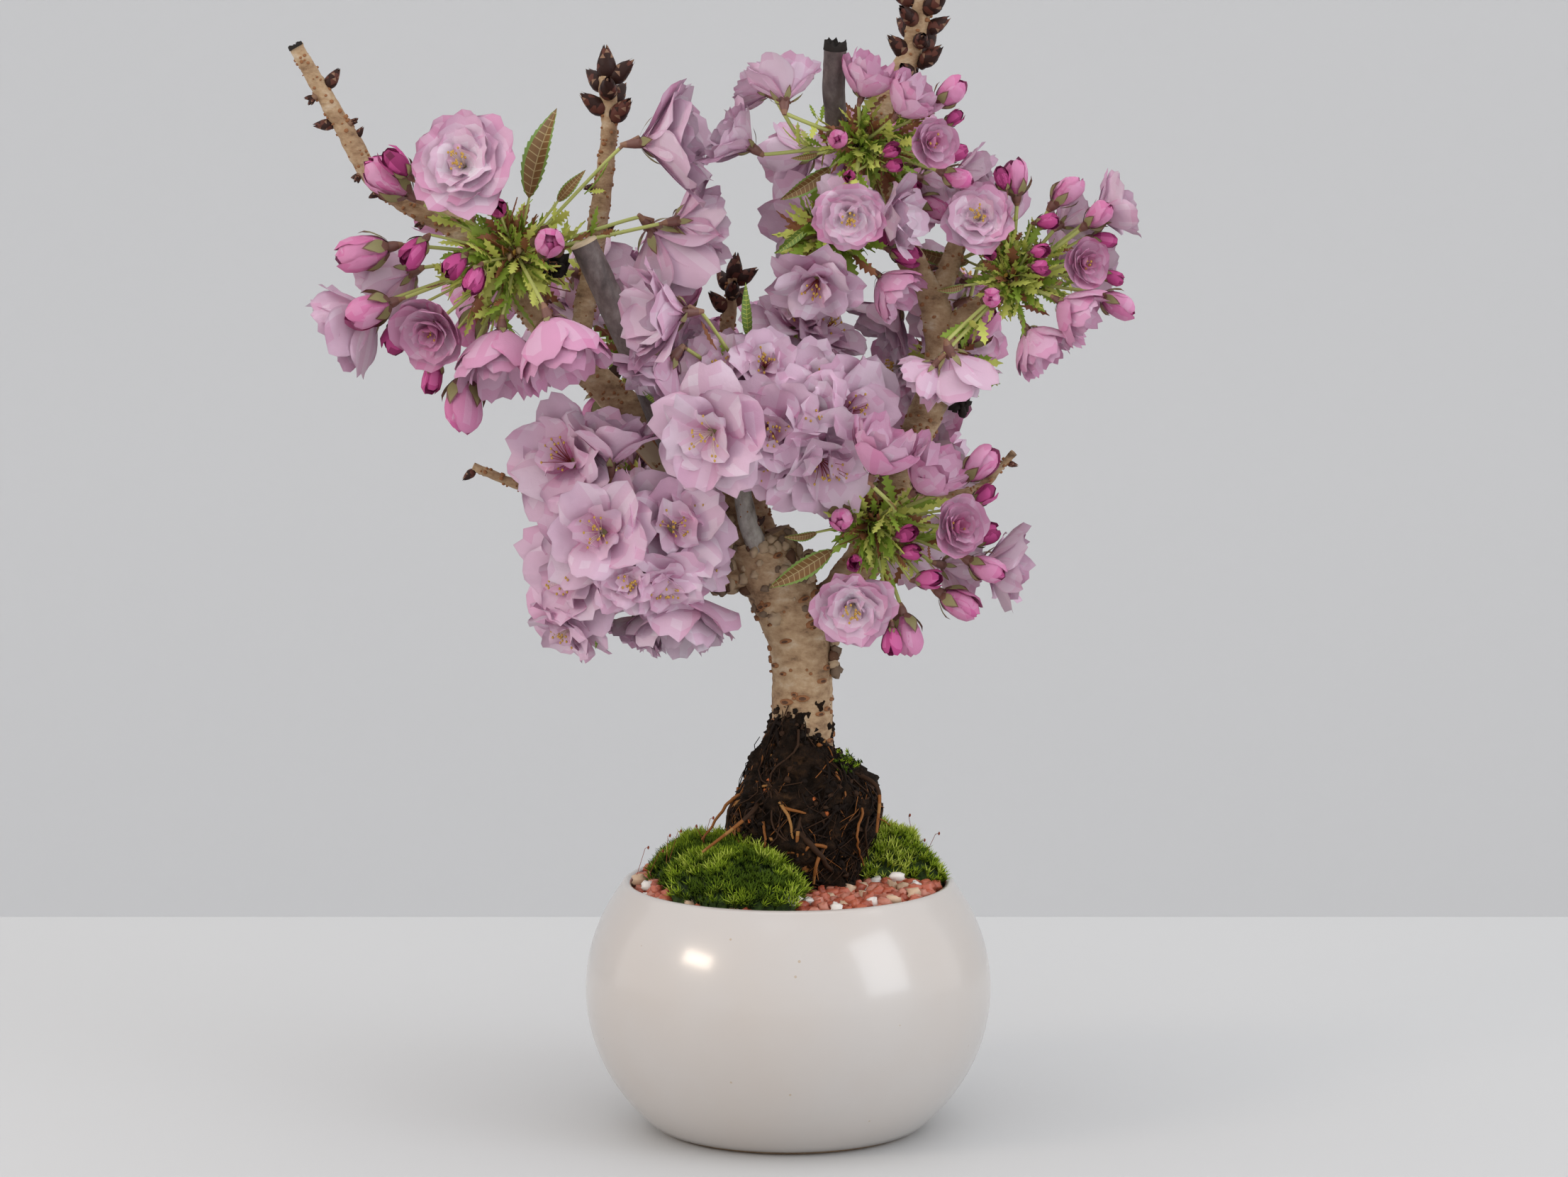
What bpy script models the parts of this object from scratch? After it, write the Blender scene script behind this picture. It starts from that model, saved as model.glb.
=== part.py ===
"""A miniature cherry bonsai in double pink blossom, in a round white glazed pot.

Metres, +Z up. The origin is the middle of the pot's flat underside. The tree is viewed from its
front, which is the -Y side, with +X to the right. Every piece is one closed solid of its own, and
neighbours that touch keep GAP between them. Run it with Blender's --python option, or from the
text editor.
"""

import itertools
import math
import random
from collections import namedtuple

import bmesh
import bpy
import numpy as np
from mathutils import Vector

# ---------------------------------------------------------------- driving dimensions

GAP = 0.0003  # kept between pieces that touch
GROWTH_SEED = 11

POT_RADIUS = 0.065  # at the belly
POT_HEIGHT = 0.080
BELLY_HEIGHT = 0.045
BELLY_CURVE = 0.0588  # half height that the belly's ellipse would have
POT_WALL = 0.0046
POT_FLOOR = 0.006
POT_SEGMENTS = 28

SOIL_TOP = 0.0750
GROUND = SOIL_TOP + GAP  # where trunk, roots, moss and gravel stand
FILL_RADIUS = 0.0496  # moss and gravel stay inside the pot's mouth
GRAVEL_TOP = 0.0782

LIMB_SPACING = 0.012  # between the rings of a bough
FLARE = 0.0032  # how much wider the trunk is at its roots
FLARE_HEIGHT = 0.012  # over which that dies away
COLLAR = 0.0016  # how much thicker the trunk is at its fork
COLLAR_HEIGHT = 0.178
COLLAR_SPREAD = 0.010
PEDICEL_RADIUS = 0.0007
BLOOM_MARGIN = 0.0010  # clear space that a bloom keeps to limbs and to other masses

# ---------------------------------------------------------------- the limbs

Limb = namedtuple("Limb", "name parent foot tip sides route")

# Radii at foot and tip. The route's first point lies inside the parent, which trims the foot.
TRUNK = Limb(
    "trunk", None, 0.0094, 0.0098, 12,
    [(0.0048, 0, GROUND), (0.0047, 0, 0.105), (0.0045, 0, 0.140), (0.0036, 0, 0.158),
     (-0.0015, 0, 0.172), (-0.0070, 0, 0.184), (-0.0095, 0, 0.1905)],
)
BOUGHS = [
    Limb("bough_left", "trunk", 0.0068, 0.0023, 8,
         [(-0.0075, 0, 0.182), (-0.0185, 0.002, 0.1951), (-0.0342, 0.004, 0.2108),
          (-0.0549, 0.005, 0.2344), (-0.0701, 0.005, 0.2490), (-0.0835, 0.006, 0.2647),
          (-0.0946, 0.006, 0.2804), (-0.1105, 0.005, 0.2909), (-0.1204, 0.004, 0.2959),
          (-0.1301, 0.003, 0.3030), (-0.1417, 0.001, 0.3228), (-0.1542, 0, 0.3449)]),
    Limb("bough_left_cut", "bough_left", 0.0048, 0.0042, 8,
         [(-0.0330, 0.003, 0.2105), (-0.0440, -0.008, 0.2390), (-0.0492, -0.013, 0.2520),
          (-0.0562, -0.016, 0.2680), (-0.0637, -0.018, 0.2845)]),
    Limb("bough_upright", "bough_left", 0.0036, 0.0024, 6,
         [(-0.0675, 0.006, 0.2470), (-0.0640, 0.011, 0.2660), (-0.0589, 0.012, 0.2991),
          (-0.0565, 0.012, 0.3192), (-0.0573, 0.012, 0.3360)]),
    Limb("bough_back", "trunk", 0.0042, 0.0020, 6,
         [(-0.0030, 0.004, 0.1760), (-0.0070, 0.020, 0.1890), (-0.0150, 0.034, 0.2110),
          (-0.0210, 0.038, 0.2440), (-0.0188, 0.038, 0.2615), (-0.0176, 0.038, 0.2710)]),
    Limb("bough_lower_left", "trunk", 0.0046, 0.0036, 6,
         [(-0.0020, 0, 0.1765), (-0.0148, -0.002, 0.1782), (-0.0285, -0.004, 0.1766)]),
    Limb("bough_centre", "trunk", 0.0036, 0.0026, 6,
         [(-0.0080, -0.006, 0.1840), (-0.0124, -0.0105, 0.1948), (-0.0146, -0.011, 0.2061),
          (-0.0146, -0.010, 0.2139)]),
    Limb("bough_right", "trunk", 0.0066, 0.0030, 8,
         [(0.0052, 0, 0.1640), (0.0150, 0.002, 0.1700), (0.0233, 0.005, 0.1810),
          (0.0311, 0.006, 0.1981), (0.0401, 0.006, 0.2208), (0.0458, 0.004, 0.2345),
          (0.0489, 0.003, 0.2503), (0.0465, 0.003, 0.2630), (0.0383, 0.004, 0.2782),
          (0.0313, 0.006, 0.2949), (0.0292, 0.006, 0.3238), (0.0335, 0.006, 0.3320),
          (0.0374, 0.006, 0.3400), (0.0418, 0.006, 0.3548), (0.0436, 0.006, 0.3700)]),
    Limb("bough_right_side", "bough_right", 0.0038, 0.0028, 6,
         [(0.0488, 0.003, 0.2540), (0.0578, 0.001, 0.2615), (0.0655, 0.000, 0.2680)]),
    Limb("bough_right_upright", "bough_right", 0.0040, 0.0026, 6,
         [(0.0460, 0.005, 0.2650), (0.0518, 0.010, 0.2768), (0.0561, 0.013, 0.2914)]),
    Limb("bough_top_cut", "bough_right", 0.0036, 0.0035, 8,
         [(0.0304, 0.006, 0.3060), (0.0208, -0.003, 0.3115), (0.0151, -0.010, 0.3200),
          (0.0140, -0.015, 0.3306), (0.0145, -0.018, 0.3445)]),
    Limb("twig_lower_left", "bough_left", 0.0028, 0.0012, 6,
         [(-0.0230, 0.003, 0.1985), (-0.0480, 0.010, 0.1940), (-0.0689, 0.008, 0.1997),
          (-0.0828, 0.006, 0.2049), (-0.1000, 0.004, 0.2125)]),
    Limb("twig_lower_right", "bough_right", 0.0026, 0.0009, 6,
         [(0.0338, 0.006, 0.2040), (0.0493, 0.010, 0.2010), (0.0612, 0.009, 0.2042),
          (0.0716, 0.006, 0.2167)]),
]

# Winter buds: a cluster down a limb's last stretch, by how many, how far down it runs, and their
# length. Single buds: how far from the tip, on which side of the limb (+1 right), and how long.
BUD_CLUSTERS = {"bough_upright": (7, 0.017, 0.0100), "bough_back": (6, 0.014, 0.0085),
                "bough_right": (5, 0.008, 0.0090)}
SINGLE_BUDS = {"bough_left": [(0.016, 1, 0.010), (0.027, -1, 0.009), (0.034, 1, 0.006),
                              (0.052, -1, 0.006)],
               "bough_right": [(0.015, -1, 0.010), (0.018, 1, 0.010), (0.024, -1, 0.009),
                               (0.026, 1, 0.010), (0.032, 1, 0.010)],
               "twig_lower_right": [(0.004, 1, 0.005)],
               "bough_centre": [(0.020, 1, 0.006)],
               "twig_lower_left": [(0.001, -1, 0.007)]}

# ---------------------------------------------------------------- the blossom

# What a bloom of each kind looks like, in shares of its width: the sides it is turned with, its
# rings as (radius, height over its base), the height of its middle, and how deep the petals' tips
# notch the last ring.
BloomShape = namedtuple("BloomShape", "sides rings top notch")
BLOOM_SHAPES = {
    "double": BloomShape(10, ((0.50, 0.30),), 0.20, 0.14),
    "open": BloomShape(10, ((0.50, 0.42),), 0.20, 0.20),
    "rose": BloomShape(7, ((0.46, 0.30), (0.48, 0.55)), 0.56, 0.0),
    "bell": BloomShape(8, ((0.38, 0.26), (0.50, 0.74)), 0.50, 0.08),
    "round_bud": BloomShape(6, ((0.44, 0.30), (0.46, 0.68)), 1.00, 0.0),
    "plump_bud": BloomShape(5, ((0.42, 0.40), (0.44, 0.95)), 1.45, 0.0),
    "bud": BloomShape(5, ((0.46, 0.60),), 1.40, 0.0),
}
WINTER_BUD = BloomShape(4, ((0.46, 0.70),), 2.2, 0.0)

Bloom = namedtuple("Bloom", "kind width offset facing")  # offset and facing: right, forward, up


def blooms(*rows):
    return [Bloom(*row) for row in rows]


# One umbel, as it hangs on the upper left bough. The tree carries it four times, turned.
UMBEL = blooms(
    ("double", 0.0357, (-0.016, 0.014, 0.029), (-0.2, 0.9, 0.3)),
    ("plump_bud", 0.0135, (-0.041, 0.004, 0.025), (-0.8, 0.1, 0.6)),
    ("bud", 0.0075, (-0.036, 0.011, 0.029), (-0.6, 0.3, 0.7)),
    ("plump_bud", 0.0135, (-0.049, 0.006, 0.001), (-1, 0.1, -0.2)),
    ("bud", 0.0072, (-0.031, 0.010, 0.002), (-0.6, 0.4, -0.7)),
    ("bud", 0.0064, (-0.018, 0.016, -0.002), (-0.5, 0.6, -0.5)),
    ("bud", 0.0064, (-0.012, 0.018, -0.006), (-0.3, 0.6, -0.7)),
    ("bud", 0.0055, (-0.005, 0.012, 0.015), (0, 0.9, 0.3)),
    ("open", 0.0260, (-0.037, -0.006, -0.007), (-0.7, -0.5, -0.3)),
    ("open", 0.0313, (-0.050, -0.002, -0.020), (-0.8, -0.2, -0.5)),
    ("plump_bud", 0.0120, (-0.047, 0.010, -0.017), (-0.9, 0.3, -0.3)),
    ("bud", 0.0080, (-0.038, -0.002, -0.025), (-0.4, 0, -0.9)),
    ("rose", 0.0232, (-0.026, 0.022, -0.023), (-0.3, 0.85, -0.4)),
    ("bell", 0.0250, (-0.004, 0.018, -0.031), (0, 0.3, -0.95)),
    ("bell", 0.0259, (0.018, 0.014, -0.026), (0.35, 0.25, -0.9)),
    ("bud", 0.0068, (-0.026, 0.008, -0.037), (-0.2, 0.1, -1)),
    ("plump_bud", 0.0134, (-0.017, 0.010, -0.047), (-0.1, 0.1, -1)),
    ("round_bud", 0.0108, (0.011, 0.022, 0.005), (0.1, 0.95, 0.1)),
    ("open", 0.0369, (0.047, 0.002, 0.036), (0.9, 0.1, 0.1)),
    ("double", 0.0369, (0.045, 0.004, 0.004), (0.5, -0.4, -0.6)),
    ("open", 0.0246, (0.054, -0.008, 0.011), (0.8, -0.4, 0.1)),
)
UMBEL_LEAVES = (((0.004, 0.004, 0.018), (0.013, 0.004, 0.046)),
                ((0.013, 0.006, 0.017), (0.022, 0.008, 0.027)))

SPRAY = blooms(
    ("double", 0.0197, (0.007, 0.010, 0.010), (0.2, 0.9, 0.3)),
    ("open", 0.0223, (0.021, 0.010, 0.006), (0.9, 0.3, 0)),
    ("double", 0.0279, (-0.003, 0.012, -0.015), (-0.1, 0.7, -0.6)),
    ("bell", 0.0168, (0.021, 0.008, -0.017), (0.6, 0.3, -0.6)),
    ("bud", 0.0063, (0.024, 0.004, -0.006), (0.9, 0.2, -0.3)),
)
SPRAY_LEAVES = (((-0.004, 0.004, 0.004), (-0.016, 0.004, -0.006)),)

CENTRE = blooms(
    ("open", 0.0335, (-0.030, 0.008, 0.030), (-0.9, 0.4, 0)),
    ("open", 0.0279, (-0.031, 0.004, 0.011), (-0.6, 0.2, -0.7)),
    ("double", 0.0268, (0.010, 0.002, 0.025), (0.2, 0.5, 0.8)),
    ("double", 0.0279, (0.020, -0.002, 0.021), (0.6, 0.3, 0.6)),
    ("double", 0.0257, (-0.013, 0.014, 0.011), (-0.3, 0.8, 0.5)),
    ("double", 0.0246, (0.001, 0.016, 0.013), (0, 0.8, 0.5)),
    ("double", 0.0257, (0.016, 0.014, 0.008), (0.4, 0.8, 0.3)),
    ("double", 0.0424, (-0.016, 0.022, -0.006), (-0.3, 0.9, -0.1)),
    ("double", 0.0313, (0.003, 0.026, -0.006), (0, 1, 0)),
    ("double", 0.0268, (0.015, 0.022, -0.002), (0.3, 0.9, 0)),
    ("double", 0.0369, (0.028, 0.012, -0.002), (0.7, 0.7, 0.1)),
    ("double", 0.0369, (0.019, 0.016, -0.018), (0.3, 0.8, -0.5)),
    ("double", 0.0270, (-0.035, 0.004, -0.006), (-0.8, 0.5, 0)),
    ("double", 0.0223, (0.001, 0.012, -0.019), (0, 0.7, -0.7)),
)
CENTRE_LEAVES = (((-0.004, 0.010, 0.020), (-0.005, 0.012, 0.038)),
                 ((-0.030, 0.010, 0.000), (-0.038, 0.012, 0.006)))

LOWER_LEFT = blooms(
    ("double", 0.0380, (-0.021, 0.010, 0.032), (-0.5, 0.8, 0.3)),
    ("open", 0.0290, (-0.006, 0.002, 0.037), (0.1, 0.1, 1)),
    ("double", 0.0357, (-0.010, 0.022, 0.011), (-0.2, 0.95, 0.2)),
    ("double", 0.0369, (0.013, 0.018, 0.012), (0.2, 0.95, 0.2)),
    ("double", 0.0220, (0.020, 0.008, 0.018), (0.5, 0.7, 0.4)),
    ("double", 0.0424, (-0.019, 0.014, -0.004), (-0.6, 0.8, 0)),
    ("double", 0.0268, (-0.021, 0.006, -0.022), (-0.5, 0.5, -0.7)),
    ("double", 0.0201, (-0.001, 0.024, -0.005), (0, 1, -0.1)),
    ("double", 0.0257, (0.010, 0.020, -0.007), (0.2, 0.9, -0.4)),
    ("double", 0.0201, (0.022, 0.012, 0.000), (0.7, 0.7, 0)),
    ("bell", 0.0369, (0.015, 0.008, -0.024), (0, 0.2, -1)),
    ("open", 0.0201, (0.001, 0.000, -0.022), (-0.5, 0.2, -0.8)),
)
LOWER_LEFT_LEAVES = (((-0.010, 0.006, -0.018), (-0.012, 0.008, -0.028)),)

# A mass of blossom: the bough that its stem meets, its heart, the front blooms with how they are
# scaled, turned (degrees, anticlockwise from the front) and mirrored, the leaves, the core's half
# sizes (none on an open umbel), and the hidden side's blooms: how many, and their reach.
Mass = namedtuple("Mass", "name bough heart front leaves scale turn mirrored core hidden reach")
MASSES = [
    Mass("blossom_middle", "bough_right", (0.0117, -0.012, 0.2867), SPRAY, SPRAY_LEAVES,
         1.0, 0, False, None, 3, (0.018, 0.024, 0.018)),
    Mass("blossom_lower_left", "bough_lower_left", (-0.0487, -0.008, 0.1845), LOWER_LEFT,
         LOWER_LEFT_LEAVES, 1.0, 0, False, (0.020, 0.008, 0.016), 8, (0.028, 0.030, 0.026)),
    Mass("blossom_centre", "bough_centre", (-0.0083, -0.012, 0.2342), CENTRE, CENTRE_LEAVES,
         1.0, 0, False, (0.026, 0.008, 0.017), 8, (0.030, 0.030, 0.026)),
    Mass("blossom_upper_left", "bough_left", (-0.0848, -0.010, 0.2800), UMBEL, UMBEL_LEAVES,
         1.0, 0, False, None, 8, (0.040, 0.036, 0.034)),
    Mass("blossom_lower_right", "bough_right", (0.0258, -0.018, 0.1974), UMBEL, UMBEL_LEAVES,
         0.794, 138.8, False, None, 7, (0.030, 0.034, 0.028)),
    Mass("blossom_right", "bough_right_side", (0.0700, -0.008, 0.2721), UMBEL, UMBEL_LEAVES,
         0.688, 57.5, True, None, 8, (0.030, 0.034, 0.028)),
    Mass("blossom_top", "bough_top_cut", (0.0227, -0.016, 0.3150), UMBEL, UMBEL_LEAVES,
         0.644, 140.4, False, None, 7, (0.028, 0.034, 0.024)),
    Mass("blossom_back_left", "bough_left", (-0.0500, 0.036, 0.2470), [], (),
         1.0, 0, False, None, 8, (0.030, 0.030, 0.028)),
    Mass("blossom_back_right", "bough_right", (0.0520, 0.032, 0.2420), [], (),
         1.0, 0, False, None, 8, (0.026, 0.028, 0.026)),
    Mass("blossom_back_centre", "bough_back", (-0.0080, 0.060, 0.2300), [], (),
         1.0, 0, False, None, 8, (0.028, 0.026, 0.028)),
    Mass("blossom_back_low_left", "twig_lower_left", (-0.0460, 0.036, 0.1960), [], (),
         1.0, 0, False, None, 6, (0.024, 0.024, 0.022)),
    Mass("blossom_back_low_right", "bough_right", (0.0340, 0.036, 0.2020), [], (),
         1.0, 0, False, None, 6, (0.024, 0.024, 0.022)),
    Mass("blossom_back_top", "bough_right", (0.0300, 0.034, 0.3020), [], (),
         1.0, 0, False, None, 6, (0.022, 0.024, 0.022)),
]
HIDDEN_WIDTHS = {"double": 0.029, "open": 0.028, "bell": 0.024, "plump_bud": 0.012}
HIDDEN_KINDS = ("double", "open", "double", "bell", "double", "plump_bud")
CANDIDATES_EACH = 5  # spots tried for each bloom of a hidden side
LEAST_BACKWARD = 0.15  # how far to the back such a spot lies from its heart, at least
REACH_SHARES = (0.65, 1.0)
WIDTH_SHARES = (0.85, 1.05)
SPACING_SHARE = 0.40  # of both widths, kept between bloom and bloom
RIM_POINTS = 8
BACKWARD_SHIFTS = [0.003 * k for k in range(13)]  # tried in turn where a bloom would touch
DEPTH_SHIFTS = sorted([*BACKWARD_SHIFTS, *(-0.003 * k for k in range(1, 9))], key=abs)
NUDGES = [(0, 0), (0.003, 0), (-0.003, 0), (0, 0.003), (0, -0.003)]  # tried after every depth
PEDICEL_BOWS = ((0.0, 0.0), (0.15, 0.25), (0.15, -0.25), (0.35, 0.0))  # back from the bloom, aside
SMALLEST_BLOOM = 0.0046  # smaller buds than this are left out
HEART_RADIUS = 0.0045
STEM_RADIUS = 0.0021

# ---------------------------------------------------------------- roots

# Heights with the root mass's middle and its half width there.
ROOT_RINGS = [(GROUND, 0.0045, 0.0185), (0.084, 0.0035, 0.0208), (0.093, 0.0035, 0.0226),
              (0.101, 0.0045, 0.0230), (0.109, 0.0062, 0.0212), (0.117, 0.0068, 0.0178),
              (0.124, 0.0052, 0.0133), (0.134, 0.0045, 0.0106)]
ROOT_LUMPS = 0.07  # share of its radius
STRAY_ROOTS = [
    [(-0.008, -0.010, 0.108), (-0.0135, -0.024, 0.104), (-0.0270, -0.028, 0.094)],
    [(0.006, -0.018, 0.108), (0.0030, -0.0245, 0.100), (0.0030, -0.0235, 0.090)],
    [(0.014, -0.016, 0.100), (0.0090, -0.0245, 0.090), (0.0080, -0.0230, 0.083)],
    [(0.020, -0.008, 0.116), (0.0285, -0.013, 0.112), (0.0280, -0.016, 0.098)],
    [(-0.002, 0.018, 0.108), (-0.0100, 0.0270, 0.100), (-0.0140, 0.0280, 0.092)],
]
STRAY_ROOT_RADIUS = 0.0008

# ---------------------------------------------------------------- moss

# A mound's top as (x, y), its height over the soil, how far it spreads from there, and the
# straight edge that it stops at: a unit normal and how far that lies from the origin.
Mound = namedtuple("Mound", "name top height spread edge")
MOUNDS = [
    Mound("moss_left", (-0.0200, -0.012), 0.0185, 0.045, ((1, 0), 0.004)),
    Mound("moss_right", (0.0270, 0.016), 0.0200, 0.040, ((0, -1), 0.004)),
]
MOUND_EDGE = 0.0035  # its height where it ends
MOUND_SPOKES = 20

# ---------------------------------------------------------------- colours

LOOKS = {  # base colour, roughness
    "glaze": ((0.86, 0.84, 0.81), 0.25),
    "soil": ((0.045, 0.028, 0.018), 0.95),
    "gravel": ((0.62, 0.30, 0.22), 0.75),
    "moss": ((0.09, 0.20, 0.03), 0.95),
    "roots": ((0.035, 0.022, 0.016), 0.90),
    "bark": ((0.36, 0.28, 0.20), 0.85),
    "dark bark": ((0.12, 0.10, 0.09), 0.65),
    "blossom": ((0.82, 0.48, 0.62), 0.60),
}


def material(name):
    """The named look as a material, made once."""
    made = bpy.data.materials.get(name)
    if made:
        return made
    colour, roughness = LOOKS[name]
    made = bpy.data.materials.new(name)
    made.use_nodes = True
    shader = made.node_tree.nodes["Principled BSDF"]
    shader.inputs["Base Color"].default_value = (*colour, 1)
    shader.inputs["Roughness"].default_value = roughness
    return made


# ---------------------------------------------------------------- making solids


def clear_scene():
    for obj in list(bpy.data.objects):
        bpy.data.objects.remove(obj)


def solid(name, vertices, faces, look, collection=None):
    """A new object from vertices and faces, with its normals facing out."""
    mesh = bpy.data.meshes.new(name)
    shape = bmesh.new()
    made = [shape.verts.new(v) for v in vertices]
    for face in faces:
        shape.faces.new([made[i] for i in face])
    bmesh.ops.recalc_face_normals(shape, faces=shape.faces)
    shape.to_mesh(mesh)
    shape.free()
    mesh.materials.append(material(look))
    obj = bpy.data.objects.new(name, mesh)
    (collection or bpy.context.scene.collection).objects.link(obj)
    return obj


def skin_rings(rings, closed_ends=True):
    """Vertices and faces of a skin over rings of equal count, with flat ends."""
    count = len(rings[0])
    vertices = [v for ring in rings for v in ring]
    faces = []
    for r in range(len(rings) - 1):
        for i in range(count):
            j = (i + 1) % count
            a, b = r * count, (r + 1) * count
            faces += [(a + i, a + j, b + j), (a + i, b + j, b + i)]
    if closed_ends:
        faces.append(tuple(range(count))[::-1])
        faces.append(tuple(range(len(vertices) - count, len(vertices))))
    return vertices, faces


def spline(points, spacing):
    """Points along a Catmull-Rom curve through the given ones, about this far apart."""
    points = [Vector(p) for p in points]
    ends = [2 * points[0] - points[1], *points, 2 * points[-1] - points[-2]]
    out = []
    for k in range(len(points) - 1):
        a, b, c, d = ends[k : k + 4]
        steps = max(1, round((c - b).length / spacing))
        for s in range(steps):
            t = s / steps
            out.append(0.5 * (2 * b + (c - a) * t + (2 * a - 5 * b + 4 * c - d) * t * t
                              + (3 * b - a - 3 * c + d) * t ** 3))
    return [*out, points[-1]]


def tube(points, radii, sides):
    """Vertices and faces of a closed tube along the points, its rings turned as little as can be."""
    side = None
    rings = []
    for k, point in enumerate(points):
        ahead = points[min(k + 1, len(points) - 1)] - points[max(k - 1, 0)]
        ahead.normalize()
        if side is None:
            side = ahead.orthogonal()
        side = (side - ahead * side.dot(ahead)).normalized()
        other = ahead.cross(side)
        angles = [2 * math.pi * i / sides for i in range(sides)]
        rings.append([point + radii[k] * (math.cos(a) * side + math.sin(a) * other)
                      for a in angles])
    return skin_rings(rings)


def joined(low, low_count, high, high_count):
    """Triangles between two rings of vertices that start side by side, whatever their counts."""
    faces = []
    i = j = 0
    while i < low_count or j < high_count:
        a, b = low + i % low_count, high + j % high_count
        if j == high_count or (i < low_count and (i + 1) * high_count <= (j + 1) * low_count):
            i += 1
            faces.append((a, low + i % low_count, b))
        else:
            j += 1
            faces.append((a, high + j % high_count, b))
    return faces


def turned(shape, width, route, facing, foot_sides=3, foot_radius=PEDICEL_RADIUS):
    """Vertices and faces of a bloom on its stalk: the route's rings, the shape's rings, a pole."""
    turn = Vector((0, 0, 1)).rotation_difference(facing)
    vertices, counts = [], []
    for k, point in enumerate(route):
        ahead = (route[min(k + 1, len(route) - 1)] - route[max(k - 1, 0)]).normalized()
        bend = facing.rotation_difference(facing if k == len(route) - 1 else ahead)
        for i in range(foot_sides):
            angle = 2 * math.pi * i / foot_sides
            local = foot_radius * Vector((math.cos(angle), math.sin(angle), 0))
            vertices.append(point + bend @ (turn @ local))
        counts.append(foot_sides)
    for number, (radius, height) in enumerate(shape.rings):
        for i in range(shape.sides):
            notch = shape.notch if number == len(shape.rings) - 1 and i % 2 else 0
            angle = 2 * math.pi * i / shape.sides
            r = radius * (1 - notch)
            local = Vector((r * math.cos(angle), r * math.sin(angle), height))
            vertices.append(route[-1] + turn @ (width * local))
        counts.append(shape.sides)
    faces = [tuple(range(foot_sides))]
    start = 0
    for low, high in zip(counts, counts[1:]):
        faces += joined(start, low, start + low, high)
        start += low
    last = len(vertices)
    vertices.append(route[-1] + turn @ Vector((0, 0, width * shape.top)))
    faces += [(start + i, start + (i + 1) % counts[-1], last) for i in range(counts[-1])]
    return vertices, faces


def modifier_applied(obj):
    """Bakes the object's modifiers into its mesh."""
    graph = bpy.context.evaluated_depsgraph_get()
    mesh = bpy.data.meshes.new_from_object(obj.evaluated_get(graph))
    obj.modifiers.clear()
    obj.data = mesh
    return obj


def remove(objects):
    for obj in list(objects):
        bpy.data.objects.remove(obj)


def cut(obj, cutters):
    """Takes the cutters away from the object, then removes them."""
    for cutter in cutters:
        boolean = obj.modifiers.new("cut", "BOOLEAN")
        boolean.operation = "DIFFERENCE"
        boolean.object = cutter
        modifier_applied(obj)
    remove(cutters)
    return obj


def one_body(obj):
    """Keeps the largest shell: this drops loose scraps, and fills any sealed hollow."""
    shape = bmesh.new()
    shape.from_mesh(obj.data)
    unseen = set(shape.verts)
    shells = []
    while unseen:
        front = [unseen.pop()]
        shell = set(front)
        while front:
            for edge in front.pop().link_edges:
                for vertex in edge.verts:
                    if vertex in unseen:
                        unseen.discard(vertex)
                        shell.add(vertex)
                        front.append(vertex)
        shells.append(shell)
    keep = max(shells, key=len)
    bmesh.ops.delete(shape, geom=[v for v in shape.verts if v not in keep], context="VERTS")
    shape.to_mesh(obj.data)
    shape.free()
    return obj


def fuse(obj, pieces):
    """Joins the pieces, a collection, to the object by one Boolean union, and removes them."""
    boolean = obj.modifiers.new("fuse", "BOOLEAN")
    boolean.operation = "UNION"
    boolean.operand_type = "COLLECTION"
    boolean.collection = pieces
    boolean.solver = "MANIFOLD"
    modifier_applied(obj)
    remove(pieces.objects)
    bpy.data.collections.remove(pieces)
    return one_body(obj)


def new_collection(name):
    made = bpy.data.collections.new(name)
    bpy.context.scene.collection.children.link(made)
    return made


# ---------------------------------------------------------------- pot and filling


def pot_outside(height):
    return POT_RADIUS * math.sqrt(1 - ((height - BELLY_HEIGHT) / BELLY_CURVE) ** 2)


def lathe(name, profile, look, segments):
    """A closed solid turned from a profile that starts and ends on the axis."""
    shape = bmesh.new()
    line = [shape.verts.new((radius, 0, height)) for radius, height in profile]
    edges = [shape.edges.new(pair) for pair in zip(line, line[1:])]
    bmesh.ops.spin(shape, geom=line + edges, cent=(0, 0, 0), axis=(0, 0, 1),
                   angle=2 * math.pi, steps=segments, use_merge=True)
    bmesh.ops.remove_doubles(shape, verts=shape.verts, dist=1e-6)
    bmesh.ops.recalc_face_normals(shape, faces=shape.faces)
    mesh = bpy.data.meshes.new(name)
    shape.to_mesh(mesh)
    shape.free()
    mesh.materials.append(material(look))
    mesh.shade_smooth()
    mesh.set_sharp_from_angle(angle=math.radians(40))
    obj = bpy.data.objects.new(name, mesh)
    bpy.context.scene.collection.objects.link(obj)
    return obj


def pot_inside():
    """The inner wall from the floor up to the soil's top, as (radius, height)."""
    low = POT_FLOOR + 0.006
    heights = [low + (SOIL_TOP - low) * k / 5 for k in range(6)]
    wall = [(pot_outside(h) - POT_WALL, h) for h in heights]
    return [(pot_outside(POT_FLOOR) - 2 * POT_WALL, POT_FLOOR), *wall]


def pot():
    """A flattened ball of glazed clay, open at the top, with a flat foot."""
    heights = [0.002 + (POT_HEIGHT - 0.006) * k / 8 for k in range(9)]
    outside = [(pot_outside(0.0) - 0.0012, 0.0)] + [(pot_outside(h), h) for h in heights]
    lip = [(0.0537, 0.0785), (0.0524, POT_HEIGHT), (0.0512, POT_HEIGHT), (0.0503, 0.0788)]
    profile = [(0.0, 0.0), *outside, *lip, *pot_inside()[::-1], (0.0, POT_FLOOR)]
    return lathe("pot", profile, "glaze", POT_SEGMENTS)


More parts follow.
